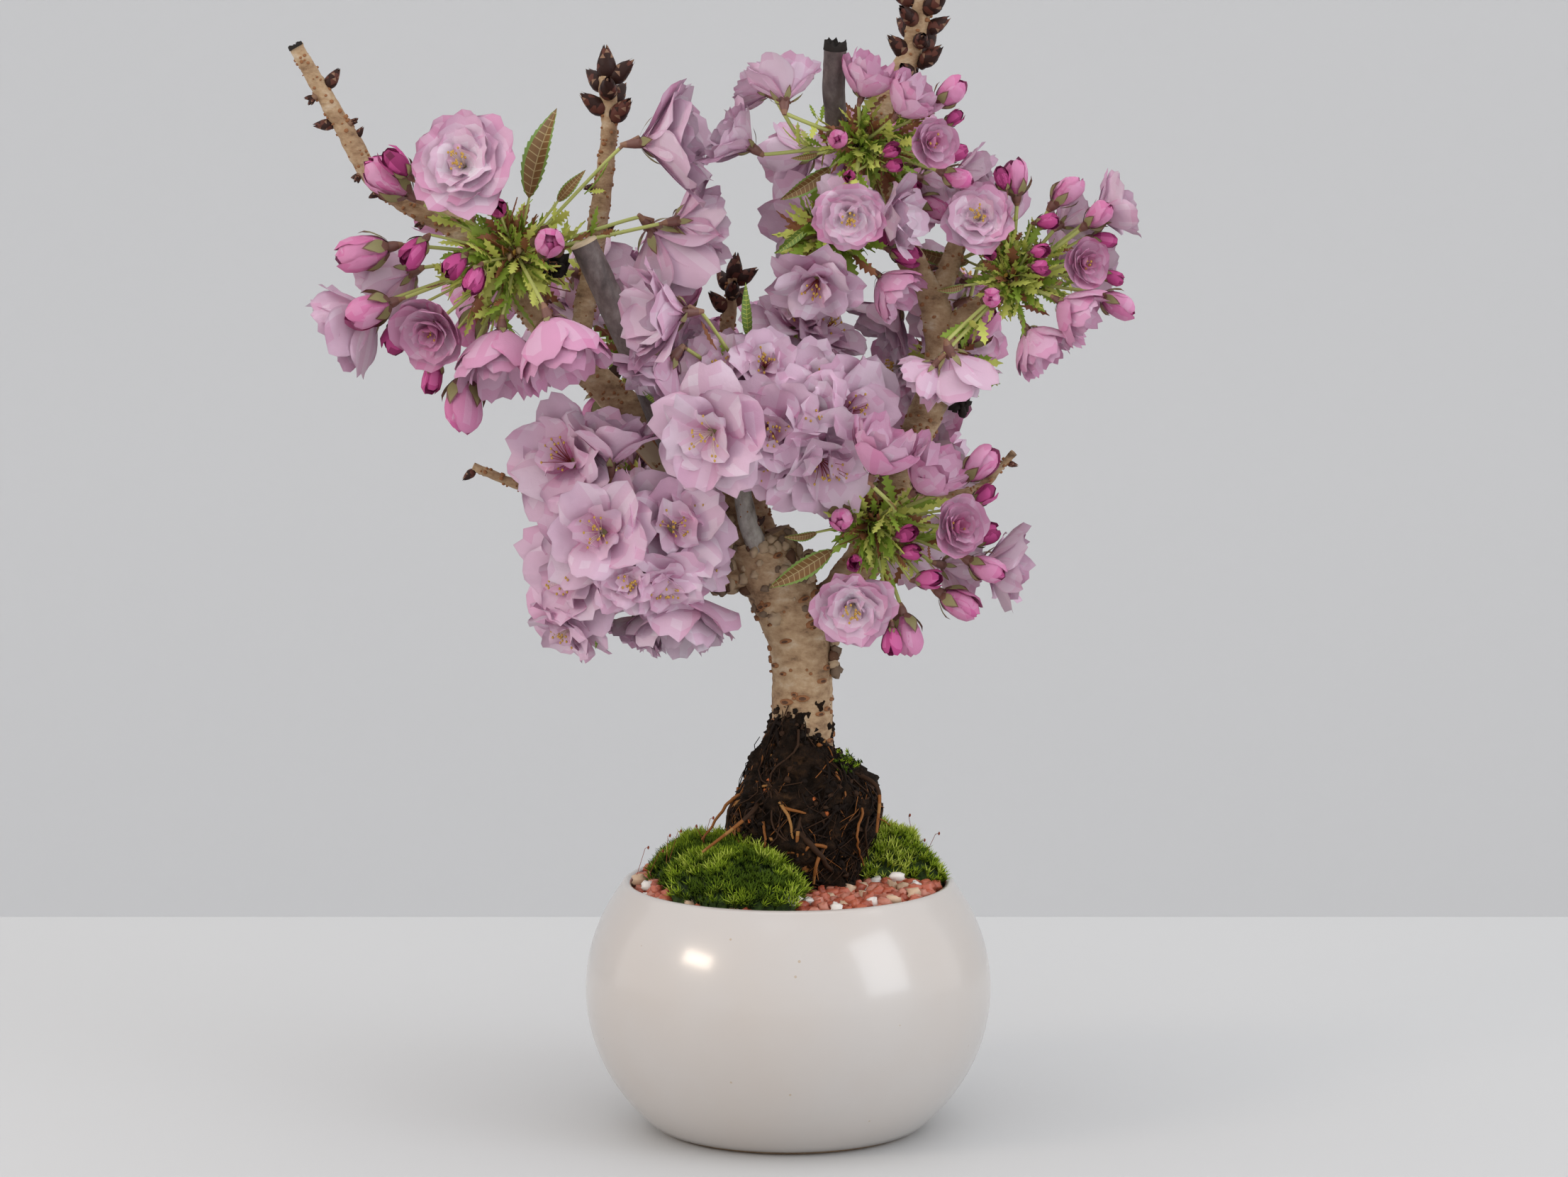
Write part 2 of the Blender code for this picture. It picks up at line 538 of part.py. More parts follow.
def soil():
    """Potting grit and loam that fills the pot to under its mouth."""
    (floor_radius, _), *wall = pot_inside()
    spare = 3 * GAP
    side = [(radius - spare, height) for radius, height in wall]
    foot = [(0.0, POT_FLOOR + GAP), (floor_radius - spare, POT_FLOOR + GAP)]
    return lathe("soil", [*foot, *side, (0.0, SOIL_TOP)], "soil", POT_SEGMENTS)


def wave(*phases):
    """A smooth value from -1 to 1 that wanders with its phases."""
    return sum(math.sin(p) for p in phases) / len(phases)


def mound(spec, grow=0.0):
    """A cushion of moss. grow makes the cutter that leaves a gap round it."""
    top = Vector(spec.top)
    (nx, ny), offset = spec.edge
    normal = Vector((nx, ny))
    shares = (0.30, 0.58, 0.82, 1.0)
    rings = [[] for _ in shares]
    for i in range(MOUND_SPOKES):
        angle = 2 * math.pi * i / MOUND_SPOKES
        way = Vector((math.cos(angle), math.sin(angle)))
        along = top.dot(way)
        to_rim = -along + math.sqrt(along ** 2 - top.length_squared + FILL_RADIUS ** 2)
        reach = min(to_rim, spec.spread * (1 + 0.08 * wave(3 * angle, 5 * angle + 1)))
        if normal.dot(way) > 0.05:
            reach = min(reach, (offset - normal.dot(top)) / normal.dot(way))
        reach = reach - 0.0002 + grow
        for k, share in enumerate(shares):
            spot = top + way * reach * share
            fall = (1 - share ** 2) ** 0.75
            lump = 0.0010 * wave(7 * angle + 9 * k, 4 * angle - 5 * k)
            height = MOUND_EDGE + (spec.height - MOUND_EDGE) * fall + lump * fall
            rings[k].append((spot.x, spot.y, GROUND + height + grow))
    rings.append([(x, y, GROUND - grow * 2) for x, y, _ in rings[-1]])
    vertices, faces = skin_rings(rings, closed_ends=False)
    peak = len(vertices)
    vertices.append((top.x, top.y, GROUND + spec.height + grow))
    faces += [(peak, (i + 1) % MOUND_SPOKES, i) for i in range(MOUND_SPOKES)]
    faces.append(tuple(range(peak - MOUND_SPOKES, peak)))
    return solid(spec.name, vertices, faces, "moss")


def root_solid(grow=0.0):
    """The raised root mass without its stray roots: a lumpy stack of rings round the trunk."""
    sides = 16
    rings = []
    for height, middle, half in ROOT_RINGS:
        ring = []
        for i in range(sides):
            angle = 2 * math.pi * i / sides
            lumps = ROOT_LUMPS * wave(3 * angle + 210 * height, 5 * angle - 160 * height)
            r = half * (1 + lumps) + grow
            ring.append((middle + r * math.cos(angle), r * math.sin(angle), height))
        rings.append(ring)
    if grow:
        rings[0] = [(x, y, z - 0.002) for x, y, z in rings[0]]
        rings[-1] = [(x, y, z + 0.002) for x, y, z in rings[-1]]
    vertices, faces = skin_rings(rings)
    return solid("root_mass", vertices, faces, "roots")


def roots(grow=0.0):
    """The root mass with a few stray roots that hang from it."""
    strays = new_collection("stray roots")
    for number, route in enumerate(STRAY_ROOTS):
        points = spline(route, 0.008)
        radii = [STRAY_ROOT_RADIUS + grow] * len(points)
        solid(f"stray {number}", *tube(points, radii, 4), "roots", strays)
    return fuse(root_solid(grow), strays)


def root_mass():
    """The fibrous roots, raised over the soil, round the trunk's foot."""
    return one_body(cut(roots(), [trunk_cutter()]))


def moss():
    """Two cushions of moss, clear of the roots and of each other."""
    first, second = MOUNDS
    one_body(cut(mound(first), [roots(grow=GAP)]))
    one_body(cut(mound(second), [roots(grow=GAP), mound(first, grow=GAP)]))


def gravel():
    """Small stones, laid between the moss and round the roots, as one layer."""
    profile = [(0.0, GROUND), (FILL_RADIUS - GAP, GROUND), (FILL_RADIUS - GAP, GRAVEL_TOP - 0.0008),
               (FILL_RADIUS - 0.002, GRAVEL_TOP), (0.0, GRAVEL_TOP)]
    layer = lathe("gravel", profile, "gravel", 36)
    around = [mound(spec, grow=GAP) for spec in MOUNDS]
    return one_body(cut(layer, [*around, roots(grow=GAP)]))


# ---------------------------------------------------------------- trunk and boughs


def limb_line(limb):
    """The limb's middle line and its radius at each point of it."""
    points = spline(limb.route, LIMB_SPACING)
    lengths = [0.0]
    for a, b in zip(points, points[1:]):
        lengths.append(lengths[-1] + (b - a).length)
    shares = [length / lengths[-1] for length in lengths]
    radii = [limb.foot + (limb.tip - limb.foot) * share for share in shares]
    return points, radii


def trunk_line():
    """The trunk's line and radii: it flares at its roots, and thickens where it forks."""
    points, radii = limb_line(TRUNK)
    flared = []
    for point, radius in zip(points, radii):
        flare = FLARE * math.exp(-(point.z - GROUND) / FLARE_HEIGHT)
        collar = COLLAR * math.exp(-((point.z - COLLAR_HEIGHT) / COLLAR_SPREAD) ** 2)
        flared.append(radius + flare + collar)
    return points, flared


def line_of(limb):
    return trunk_line() if limb is TRUNK else limb_line(limb)


def grown(limb, grow, look="bark"):
    points, radii = line_of(limb)
    vertices, faces = tube(points, [r + grow for r in radii], limb.sides)
    return solid(limb.name, vertices, faces, look)


def trunk_cutter():
    """The trunk grown by the gap, and run on past its flat foot."""
    points, radii = trunk_line()
    points = [points[0] - Vector((0, 0, 0.004)), *points]
    vertices, faces = tube(points, [r + GAP for r in [radii[0], *radii]], TRUNK.sides)
    return solid("cutter", vertices, faces, "bark")


def scaly_bud(spot, way, length):
    """A winter bud: a pointed four-sided spindle."""
    way = way.normalized()
    return turned(WINTER_BUD, length / WINTER_BUD.top, [spot], way, 4, 0.0005)


def bud_pieces(limb, pieces):
    """Adds the limb's winter buds to the collection."""
    points, radii = limb_line(limb)
    tip, way = points[-1], (points[-1] - points[-2]).normalized()
    right = Vector((way.z, 0, -way.x)).normalized()
    front = way.cross(right)
    if limb.name in BUD_CLUSTERS:
        count, stretch, length = BUD_CLUSTERS[limb.name]
        solid("tip bud", *scaly_bud(tip - way * 0.002, way, length * 1.1), "bark", pieces)
        for k in range(count - 1):
            angle = k * math.radians(137.5)
            out = right * math.cos(angle) + front * math.sin(angle)
            spot = tip - way * stretch * (k + 1) / count + out * radii[-1] * 0.4
            solid("side bud", *scaly_bud(spot, out + way * 1.1, length), "bark", pieces)
    for distance, side, length in SINGLE_BUDS.get(limb.name, []):
        walked, spot, run = 0.0, tip, way
        for a, b in zip(points[::-1], points[-2::-1]):
            if walked + (a - b).length >= distance:
                run = (a - b).normalized()
                spot = a - run * (distance - walked)
                break
            walked += (a - b).length
        out = side * Vector((run.z, 0, -run.x)).normalized()
        solid("bud", *scaly_bud(spot, out + run * 0.5, length + 0.003), "bark", pieces)


def boughs():
    """The trunk and every bough, each trimmed clear of the limb that it grows from."""
    limbs = {limb.name: limb for limb in [TRUNK, *BOUGHS]}
    grown(TRUNK, 0.0)
    for limb in BOUGHS:
        dark = limb.name.endswith("_cut")
        obj = grown(limb, 0.0, "dark bark" if dark else "bark")
        if limb.name in BUD_CLUSTERS or limb.name in SINGLE_BUDS:
            pieces = new_collection("buds")
            bud_pieces(limb, pieces)
            fuse(obj, pieces)
        parent = limbs[limb.parent]
        cutter = trunk_cutter() if parent is TRUNK else grown(parent, GAP)
        cutter.name = "cutter"
        one_body(cut(obj, [cutter]))


# ---------------------------------------------------------------- keeping clear


class Obstacles:
    """Balls strung along every limb, and those of each bloom that is already placed."""

    def __init__(self):
        self.centres, self.radii, self.owners = [], [], []
        for limb in [TRUNK, *BOUGHS]:
            points, radii = line_of(limb)
            for a, b, ra, rb in zip(points, points[1:], radii, radii[1:]):
                for step in range(6):
                    self.add(a.lerp(b, step / 6), ra + (rb - ra) * step / 6, limb.name)
            if limb.name in BUD_CLUSTERS:
                stretch = BUD_CLUSTERS[limb.name][1]
                self.add(points[-1], stretch * 0.45, limb.name)
                self.add(points[-1].lerp(points[-2], 0.8), stretch * 0.55, limb.name)

    def add(self, centre, radius, owner):
        self.centres.append(tuple(centre))
        self.radii.append(radius)
        self.owners.append(owner)

    def clear(self, balls, owner):
        """Whether the balls keep the margin to everything that isn't their own mass's."""
        others = [i for i, name in enumerate(self.owners) if name != owner]
        centres = np.array(self.centres)[others]
        radii = np.array(self.radii)[others]
        for centre, radius in balls:
            away = np.linalg.norm(centres - np.array(centre), axis=1)
            if (away < radii + radius + BLOOM_MARGIN).any():
                return False
        return True


def bloom_balls(kind, width, base, facing):
    """A few balls that fill the bloom's shape."""
    shape = BLOOM_SHAPES[kind]
    rim, high = shape.rings[-1]
    middle = base + facing * width * (0.1 + shape.top) / 2
    if kind.endswith("bud"):
        return [(middle, width * 0.50), (base + facing * width * shape.top * 0.8, width * 0.3)]
    balls = [(middle, width * 0.22)]
    side = facing.orthogonal()
    other = facing.cross(side)
    edge = base + facing * width * high
    for i in range(8):
        angle = math.pi * i / 4
        out = (math.cos(angle) * side + math.sin(angle) * other) * width * rim
        balls.append((edge + out * 0.85 - facing * width * 0.03, width * 0.11))
        balls.append((base.lerp(edge, 0.6) + out * 0.5, width * 0.12))
    return balls


def pedicel_route(heart, base, facing, bow):
    """From the heart to the bloom's base, straight or bowed back and aside."""
    if not any(bow):
        return [heart, base]
    back, aside = bow
    reach = (base - heart).length
    across = Vector((base.z - heart.z, 0, heart.x - base.x)).normalized()
    middle = heart.lerp(base, 0.55) - facing * reach * back + across * reach * aside
    return [heart, middle, base]


def route_balls(route, radius):
    balls = []
    for a, b in zip(route, route[1:]):
        steps = max(2, int((b - a).length / 0.002))
        balls += [(a.lerp(b, s / steps), radius) for s in range(steps + 1)]
    return [ball for ball in balls if (ball[0] - route[0]).length > 0.005]


# ---------------------------------------------------------------- masses of blossom


Placed = namedtuple("Placed", "kind width base facing route")


def from_front(mass, vector, scaled=True):
    """A (right, forward, up) vector of the mass's list, turned, mirrored and scaled to the tree."""
    right, forward, up = vector
    if mass.mirrored:
        right = -right
    c, s = math.cos(math.radians(mass.turn)), math.sin(math.radians(mass.turn))
    size = mass.scale if scaled else 1.0
    return size * Vector((right * c - up * s, -forward, right * s + up * c))


def bloom_base(kind, width, centre, facing):
    """Where a bloom's base lies, when the bloom is centred on this point."""
    shape = BLOOM_SHAPES[kind]
    return centre - facing * width * max(shape.top, shape.rings[-1][1]) * 0.5


def place(mass, kind, width, centre, facing, obstacles, depths=DEPTH_SHIFTS):
    """Places one bloom, moved in depth where it would touch a limb or another mass."""
    heart = Vector(mass.heart)
    for (right, up), shift in itertools.product(NUDGES, depths):
        base = bloom_base(kind, width, centre + Vector((right, shift, up)), facing)
        balls = bloom_balls(kind, width, base, facing)
        if not obstacles.clear(balls, mass.name):
            continue
        for bow in PEDICEL_BOWS:
            route = pedicel_route(heart, base, facing, bow)
            stalk = route_balls(route, PEDICEL_RADIUS)
            if obstacles.clear(stalk, mass.name):
                for ball in [*balls, *stalk]:
                    obstacles.add(*ball, mass.name)
                return Placed(kind, width, base, facing, route)
    return None


def behind_front(centre, width, shown):
    """Whether most of the bloom's rim lies behind blooms of the front, seen from there."""
    hidden = 0
    for k in range(RIM_POINTS):
        angle = 2 * math.pi * k / RIM_POINTS
        x = centre.x + 0.5 * width * math.cos(angle)
        z = centre.z + 0.5 * width * math.sin(angle)
        hidden += any(math.hypot(x - b.base.x, z - b.base.z) < 0.5 * b.width for b in shown)
    return hidden > RIM_POINTS / 2


def hidden_candidates(mass, rng):
    """Blooms for the side that the front ones don't cover, by the golden angle."""
    total = CANDIDATES_EACH * mass.hidden
    front = bool(mass.front)
    for k in range(total):
        lift = 1 - 2 * (k + 0.5) / total
        angle = k * math.pi * (3 - math.sqrt(5))
        level = math.sqrt(1 - lift * lift)
        way = Vector((level * math.cos(angle), level * math.sin(angle), lift))
        if front and way.y < LEAST_BACKWARD:
            continue
        reach = Vector([a * b for a, b in zip(way, mass.reach)]) * rng.uniform(*REACH_SHARES)
        kind = HIDDEN_KINDS[k % len(HIDDEN_KINDS)]
        width = HIDDEN_WIDTHS[kind] * rng.uniform(*WIDTH_SHARES) * (0.75 + 0.25 * mass.scale)
        yield kind, width, Vector(mass.heart) + reach, (way + Vector((0, 0, 0.1))).normalized()


def front_blooms(mass, obstacles):
    """The mass's listed blooms, placed."""
    placed = []
    for bloom in mass.front:
        facing = from_front(mass, bloom.facing, scaled=False).normalized()
        centre = Vector(mass.heart) + from_front(mass, bloom.offset)
        width = bloom.width * mass.scale
        if width >= SMALLEST_BLOOM:
            placed.append(place(mass, bloom.kind, width, centre, facing, obstacles))
    return [bloom for bloom in placed if bloom]


def hidden_blooms(mass, obstacles, shown, rng):
    """Blooms for the mass's hidden side, set apart, and behind those that the front shows."""
    placed = []
    for kind, width, centre, facing in hidden_candidates(mass, rng):
        near = [(p.base - centre).length < SPACING_SHARE * (p.width + width)
                for p in [*shown, *placed]]
        if len(placed) < mass.hidden and not any(near) and behind_front(centre, width, shown):
            made = place(mass, kind, width, centre, facing, obstacles, BACKWARD_SHIFTS)
            if made:
                placed.append(made)
    return placed


def place_leaves(mass, obstacles):
    """The mass's leaves as (start, end), moved in depth like the blooms."""
    placed = []
    for ends in mass.leaves:
        start, end = [Vector(mass.heart) + from_front(mass, spot) for spot in ends]
        for shift in DEPTH_SHIFTS:
            move = Vector((0, shift, 0))
            balls = [((start + move).lerp(end + move, t / 5), (end - start).length * 0.16)
                     for t in range(6)]
            stalk = route_balls([Vector(mass.heart), start + move], PEDICEL_RADIUS)
            if obstacles.clear([*balls, *stalk], mass.name):
                for ball in [*balls, *stalk]:
                    obstacles.add(*ball, mass.name)
                placed.append((start + move, end + move))
                break
    return placed


def leaf(start, end, width_share=0.34):
    """A leaf of eight faces between two points, thick enough to stand as a solid."""
    run = end - start
    across = run.cross(Vector((0.2, 1, 0.1))).normalized() * run.length * width_share / 2
    thick = across.cross(run).normalized() * run.length * 0.03
    middle = start + run * 0.45
    vertices = [start, middle + across, end, middle - across, middle + thick, middle - thick]
    faces = [(0, 1, 4), (1, 2, 4), (2, 3, 4), (3, 0, 4), (1, 0, 5), (2, 1, 5), (3, 2, 5), (0, 3, 5)]
    return vertices, faces


def nearest_on(limb, spot):
    """The point of the limb's middle line that lies nearest."""
    points, _ = line_of(limb)
    along = [a.lerp(b, t / 8) for a, b in zip(points, points[1:]) for t in range(9)]
    return min(along, key=lambda point: (point - spot).length)


def stem(mass, limbs):
    """The mass's one stem, from its bough to its heart, trimmed clear of the bough."""
    heart = Vector(mass.heart)
    foot = nearest_on(limbs[mass.bough], heart)
    obj = solid(mass.name, *tube([foot, heart], [STEM_RADIUS * 1.2, STEM_RADIUS], 6), "blossom")
    cutter = grown(limbs[mass.bough], GAP)
    cutter.name = "cutter"
    return cut(obj, [cutter])


def lump(centre, half, look, pieces):
    """A closed rounded lump with these half sizes, for a heart or a core."""
    shape = bmesh.new()
    bmesh.ops.create_icosphere(shape, subdivisions=1, radius=1.0)
    mesh = bpy.data.meshes.new("lump")
    for vertex in shape.verts:
        vertex.co = Vector([c + h * v for c, h, v in zip(centre, half, vertex.co)])
    shape.to_mesh(mesh)
    shape.free()
    obj = bpy.data.objects.new("lump", mesh)
    mesh.materials.append(material(look))
    pieces.objects.link(obj)


def blossom(mass, placed, leaves, limbs):
    """One mass: stem, heart, pedicels, blooms and leaves, fused."""
    obj = stem(mass, limbs)
    pieces = new_collection("pieces")
    heart_half = HEART_RADIUS * (0.5 + 0.5 * mass.scale)
    lump(mass.heart, (heart_half,) * 3, "blossom", pieces)
    if mass.core:
        lump(mass.heart, mass.core, "blossom", pieces)
    for bloom in placed:
        shape = BLOOM_SHAPES[bloom.kind]
        solid("bloom", *turned(shape, bloom.width, bloom.route, bloom.facing), "blossom", pieces)
    for start, end in leaves:
        stalk = [Vector(mass.heart), start.lerp(end, 0.3)]
        solid("leaf", *leaf(start, end), "blossom", pieces)
        solid("leaf stalk", *tube(stalk, [PEDICEL_RADIUS] * 2, 3), "blossom", pieces)
    return fuse(obj, pieces)


def crown():
    """Every mass: first all that the front shows, then the hidden sides, so the front comes first."""
    limbs = {limb.name: limb for limb in [TRUNK, *BOUGHS]}
    obstacles = Obstacles()
    for mass in MASSES:
        foot = nearest_on(limbs[mass.bough], Vector(mass.heart))
        for ball in route_balls([Vector(mass.heart), foot], STEM_RADIUS):
            obstacles.add(*ball, mass.name)
        obstacles.add(mass.heart, HEART_RADIUS, mass.name)
    rng = random.Random(GROWTH_SEED)
    front = {mass.name: front_blooms(mass, obstacles) for mass in MASSES}
    leaves = {mass.name: place_leaves(mass, obstacles) for mass in MASSES}
    shown = list(itertools.chain(*front.values()))
    for mass in MASSES:
        hidden = hidden_blooms(mass, obstacles, shown, rng)
        blossom(mass, front[mass.name] + hidden, leaves[mass.name], limbs)


def main():
    clear_scene()
    pot()
    soil()
    moss()
    gravel()
    root_mass()
    boughs()
    crown()


main()
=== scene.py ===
"""Cherry bonsai: the finished look of a miniature cherry in double pink blossom, in a white pot.

Laid out as an add-on, and run as a script. Every part of the plant grows from the limbs below by
the rule that its solids follow, carried on to petals, stamens, leaves, root hairs and moss shoots.
Metres, +Z up, the front is -Y. The panel in the 3D view's sidebar lists the steps in their order.
"""

import itertools
import random
from collections import namedtuple
from math import atan2, cos, exp, hypot, pi, radians, sin, sqrt, tau

import bpy
import numpy as np
from bpy.props import FloatProperty, FloatVectorProperty, IntProperty, PointerProperty
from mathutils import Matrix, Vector, noise


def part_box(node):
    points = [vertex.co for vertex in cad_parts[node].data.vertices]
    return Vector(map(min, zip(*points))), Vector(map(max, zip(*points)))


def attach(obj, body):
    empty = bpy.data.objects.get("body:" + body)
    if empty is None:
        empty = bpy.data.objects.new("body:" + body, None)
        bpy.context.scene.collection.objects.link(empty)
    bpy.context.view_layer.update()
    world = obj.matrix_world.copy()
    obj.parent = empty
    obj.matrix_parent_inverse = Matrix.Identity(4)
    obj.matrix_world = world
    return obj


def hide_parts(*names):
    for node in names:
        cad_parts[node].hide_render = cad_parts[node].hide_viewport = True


bl_info = {
    "name": "Cherry bonsai in blossom",
    "version": (1, 0, 0),
    "blender": (4, 5, 0),
    "location": "View3D > Sidebar > Bonsai",
    "description": "Grows a miniature cherry in double blossom on its frame, in a white pot",
    "category": "Add Mesh",
}

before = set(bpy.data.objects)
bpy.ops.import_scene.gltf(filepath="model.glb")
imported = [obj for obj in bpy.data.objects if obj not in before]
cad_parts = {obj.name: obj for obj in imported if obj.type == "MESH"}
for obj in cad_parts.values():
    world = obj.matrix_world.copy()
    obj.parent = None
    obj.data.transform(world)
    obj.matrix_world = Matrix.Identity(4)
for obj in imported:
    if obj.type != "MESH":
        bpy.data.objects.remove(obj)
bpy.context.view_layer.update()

# ---- measures of the frame

GAP = 0.0003  # that the solids keep between pieces that touch
POT_RADIUS = 0.065
POT_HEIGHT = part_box("pot")[1][2]
BELLY_HEIGHT = 0.045
BELLY_CURVE = 0.0588
POT_WALL = 0.0046
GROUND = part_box("soil")[1][2] + GAP
FILL_RADIUS = 0.0496

GROWTH_SEED = 11
LIMB_SPACING = 0.012
PEDICEL_RADIUS = 0.0007
BLOOM_MARGIN = 0.001
FLARE = 0.0032
FLARE_HEIGHT = 0.012
COLLAR = 0.0016
COLLAR_HEIGHT = 0.178
COLLAR_SPREAD = 0.01

# ---- the limbs

Limb = namedtuple("Limb", "name foot tip route")


def metres(data):
    """Millimetres as metres, at every level of the data; names stay as they are."""
    if isinstance(data, str):
        return data
    return data / 1000 if isinstance(data, (int, float)) else tuple(metres(one) for one in data)


# Each limb's radius at foot and tip, and its route, in millimetres. The route's first point lies
# inside the parent, which trims the foot.
LIMBS = [Limb(*metres(row)) for row in (
    ("trunk", 9.4, 9.8, [(4.8, 0, 1000 * GROUND), (4.7, 0, 105), (4.5, 0, 140), (3.6, 0, 158),
      (-1.5, 0, 172), (-7, 0, 184), (-9.5, 0, 190.5)]),
    ("bough_left", 6.8, 2.3, [(-7.5, 0, 182), (-18.5, 2, 195.1), (-34.2, 4, 210.8),
      (-54.9, 5, 234.4), (-70.1, 5, 249), (-83.5, 6, 264.7), (-94.6, 6, 280.4), (-110.5, 5, 290.9),
      (-120.4, 4, 295.9), (-130.1, 3, 303), (-141.7, 1, 322.8), (-154.2, 0, 344.9)]),
    ("bough_left_cut", 4.8, 4.2, [(-33, 3, 210.5), (-44, -8, 239), (-49.2, -13, 252),
      (-56.2, -16, 268), (-63.7, -18, 284.5)]),
    ("bough_upright", 3.6, 2.4, [(-67.5, 6, 247), (-64, 11, 266), (-58.9, 12, 299.1),
      (-56.5, 12, 319.2), (-57.3, 12, 336)]),
    ("bough_back", 4.2, 2, [(-3, 4, 176), (-7, 20, 189), (-15, 34, 211), (-21, 38, 244),
      (-18.8, 38, 261.5), (-17.6, 38, 271)]),
    ("bough_lower_left", 4.6, 3.6, [(-2, 0, 176.5), (-14.8, -2, 178.2), (-28.5, -4, 176.6)]),
    ("bough_centre", 3.6, 2.6, [(-8, -6, 184), (-12.4, -10.5, 194.8), (-14.6, -11, 206.1),
      (-14.6, -10, 213.9)]),
    ("bough_right", 6.6, 3, [(5.2, 0, 164), (15, 2, 170), (23.3, 5, 181), (31.1, 6, 198.1),
      (40.1, 6, 220.8), (45.8, 4, 234.5), (48.9, 3, 250.3), (46.5, 3, 263), (38.3, 4, 278.2),
      (31.3, 6, 294.9), (29.2, 6, 323.8), (33.5, 6, 332), (37.4, 6, 340), (41.8, 6, 354.8),
      (43.6, 6, 370)]),
    ("bough_right_side", 3.8, 2.8, [(48.8, 3, 254), (57.8, 1, 261.5), (65.5, 0, 268)]),
    ("bough_right_upright", 4, 2.6, [(46, 5, 265), (51.8, 10, 276.8), (56.1, 13, 291.4)]),
    ("bough_top_cut", 3.6, 3.5, [(30.4, 6, 306), (20.8, -3, 311.5), (15.1, -10, 320),
      (14, -15, 330.6), (14.5, -18, 344.5)]),
    ("twig_lower_left", 2.8, 1.2, [(-23, 3, 198.5), (-48, 10, 194), (-68.9, 8, 199.7),
      (-82.8, 6, 204.9), (-100, 4, 212.5)]),
    ("twig_lower_right", 2.6, 0.9, [(33.8, 6, 204), (49.3, 10, 201), (61.2, 9, 204.2),
      (71.6, 6, 216.7)]),
)]
TRUNK = LIMBS[0]

# Winter buds: a cluster down a limb's last stretch, by how many, how far down it runs, and their
# length. Single buds: how far from the tip, on which side of the limb (+1 right), and how long.
BUD_CLUSTERS = {"bough_upright": (7, 0.017, 0.01), "bough_back": (6, 0.014, 0.0085),
                "bough_right": (5, 0.008, 0.009)}
SINGLE_BUDS = {"bough_left": [(0.016, 1, 0.01), (0.027, -1, 0.009), (0.034, 1, 0.006),
                              (0.052, -1, 0.006)],
               "bough_right": [(0.015, -1, 0.01), (0.018, 1, 0.01), (0.024, -1, 0.009),
                               (0.026, 1, 0.01), (0.032, 1, 0.01)],
               "twig_lower_right": [(0.004, 1, 0.005)],
               "bough_centre": [(0.02, 1, 0.006)],
               "twig_lower_left": [(0.001, -1, 0.007)]}

# ---- the blossom

# What a bloom of each kind fills, in shares of its width: its rim's radius, the rim's height over
# the base, and the height of its middle.
BLOOM_SHAPES = {"double": (0.5, 0.3, 0.2), "open": (0.5, 0.42, 0.2),
                "rose": (0.48, 0.55, 0.56), "bell": (0.5, 0.74, 0.5),
                "round_bud": (0.46, 0.68, 1.0), "plump_bud": (0.44, 0.95, 1.45),
                "bud": (0.46, 0.6, 1.4)}

# Blooms as (kind, width, offset from the heart, facing) and leaves as (start, end), in millimetres
# with every vector right, forward, up; a facing's length doesn't matter.
# One umbel, as it hangs on the upper left bough. The tree carries it four times, turned.
UMBEL = metres((
    (("double", 35.7, (-16, 14, 29), (-2, 9, 3)),
     ("plump_bud", 13.5, (-41, 4, 25), (-8, 1, 6)),
     ("bud", 7.5, (-36, 11, 29), (-6, 3, 7)),
     ("plump_bud", 13.5, (-49, 6, 1), (-10, 1, -2)),
     ("bud", 7.2, (-31, 10, 2), (-6, 4, -7)),
     ("bud", 6.4, (-18, 16, -2), (-5, 6, -5)),
     ("bud", 6.4, (-12, 18, -6), (-3, 6, -7)),
     ("bud", 5.5, (-5, 12, 15), (0, 9, 3)),
     ("open", 26, (-37, -6, -7), (-7, -5, -3)),
     ("open", 31.3, (-50, -2, -20), (-8, -2, -5)),
     ("plump_bud", 12, (-47, 10, -17), (-9, 3, -3)),
     ("bud", 8, (-38, -2, -25), (-4, 0, -9)),
     ("rose", 23.2, (-26, 22, -23), (-3, 8.5, -4)),
     ("bell", 25, (-4, 18, -31), (0, 3, -9.5)),
     ("bell", 25.9, (18, 14, -26), (3.5, 2.5, -9)),
     ("bud", 6.8, (-26, 8, -37), (-2, 1, -10)),
     ("plump_bud", 13.4, (-17, 10, -47), (-1, 1, -10)),
     ("round_bud", 10.8, (11, 22, 5), (1, 9.5, 1)),
     ("open", 36.9, (47, 2, 36), (9, 1, 1)),
     ("double", 36.9, (45, 4, 4), (5, -4, -6)),
     ("open", 24.6, (54, -8, 11), (8, -4, 1))),
    (((4, 4, 18), (13, 4, 46)), ((13, 6, 17), (22, 8, 27)))))

SPRAY = metres((
    (("double", 19.7, (7, 10, 10), (2, 9, 3)),
     ("open", 22.3, (21, 10, 6), (9, 3, 0)),
     ("double", 27.9, (-3, 12, -15), (-1, 7, -6)),
     ("bell", 16.8, (21, 8, -17), (6, 3, -6)),
     ("bud", 6.3, (24, 4, -6), (9, 2, -3))),
    (((-4, 4, 4), (-16, 4, -6)),)))

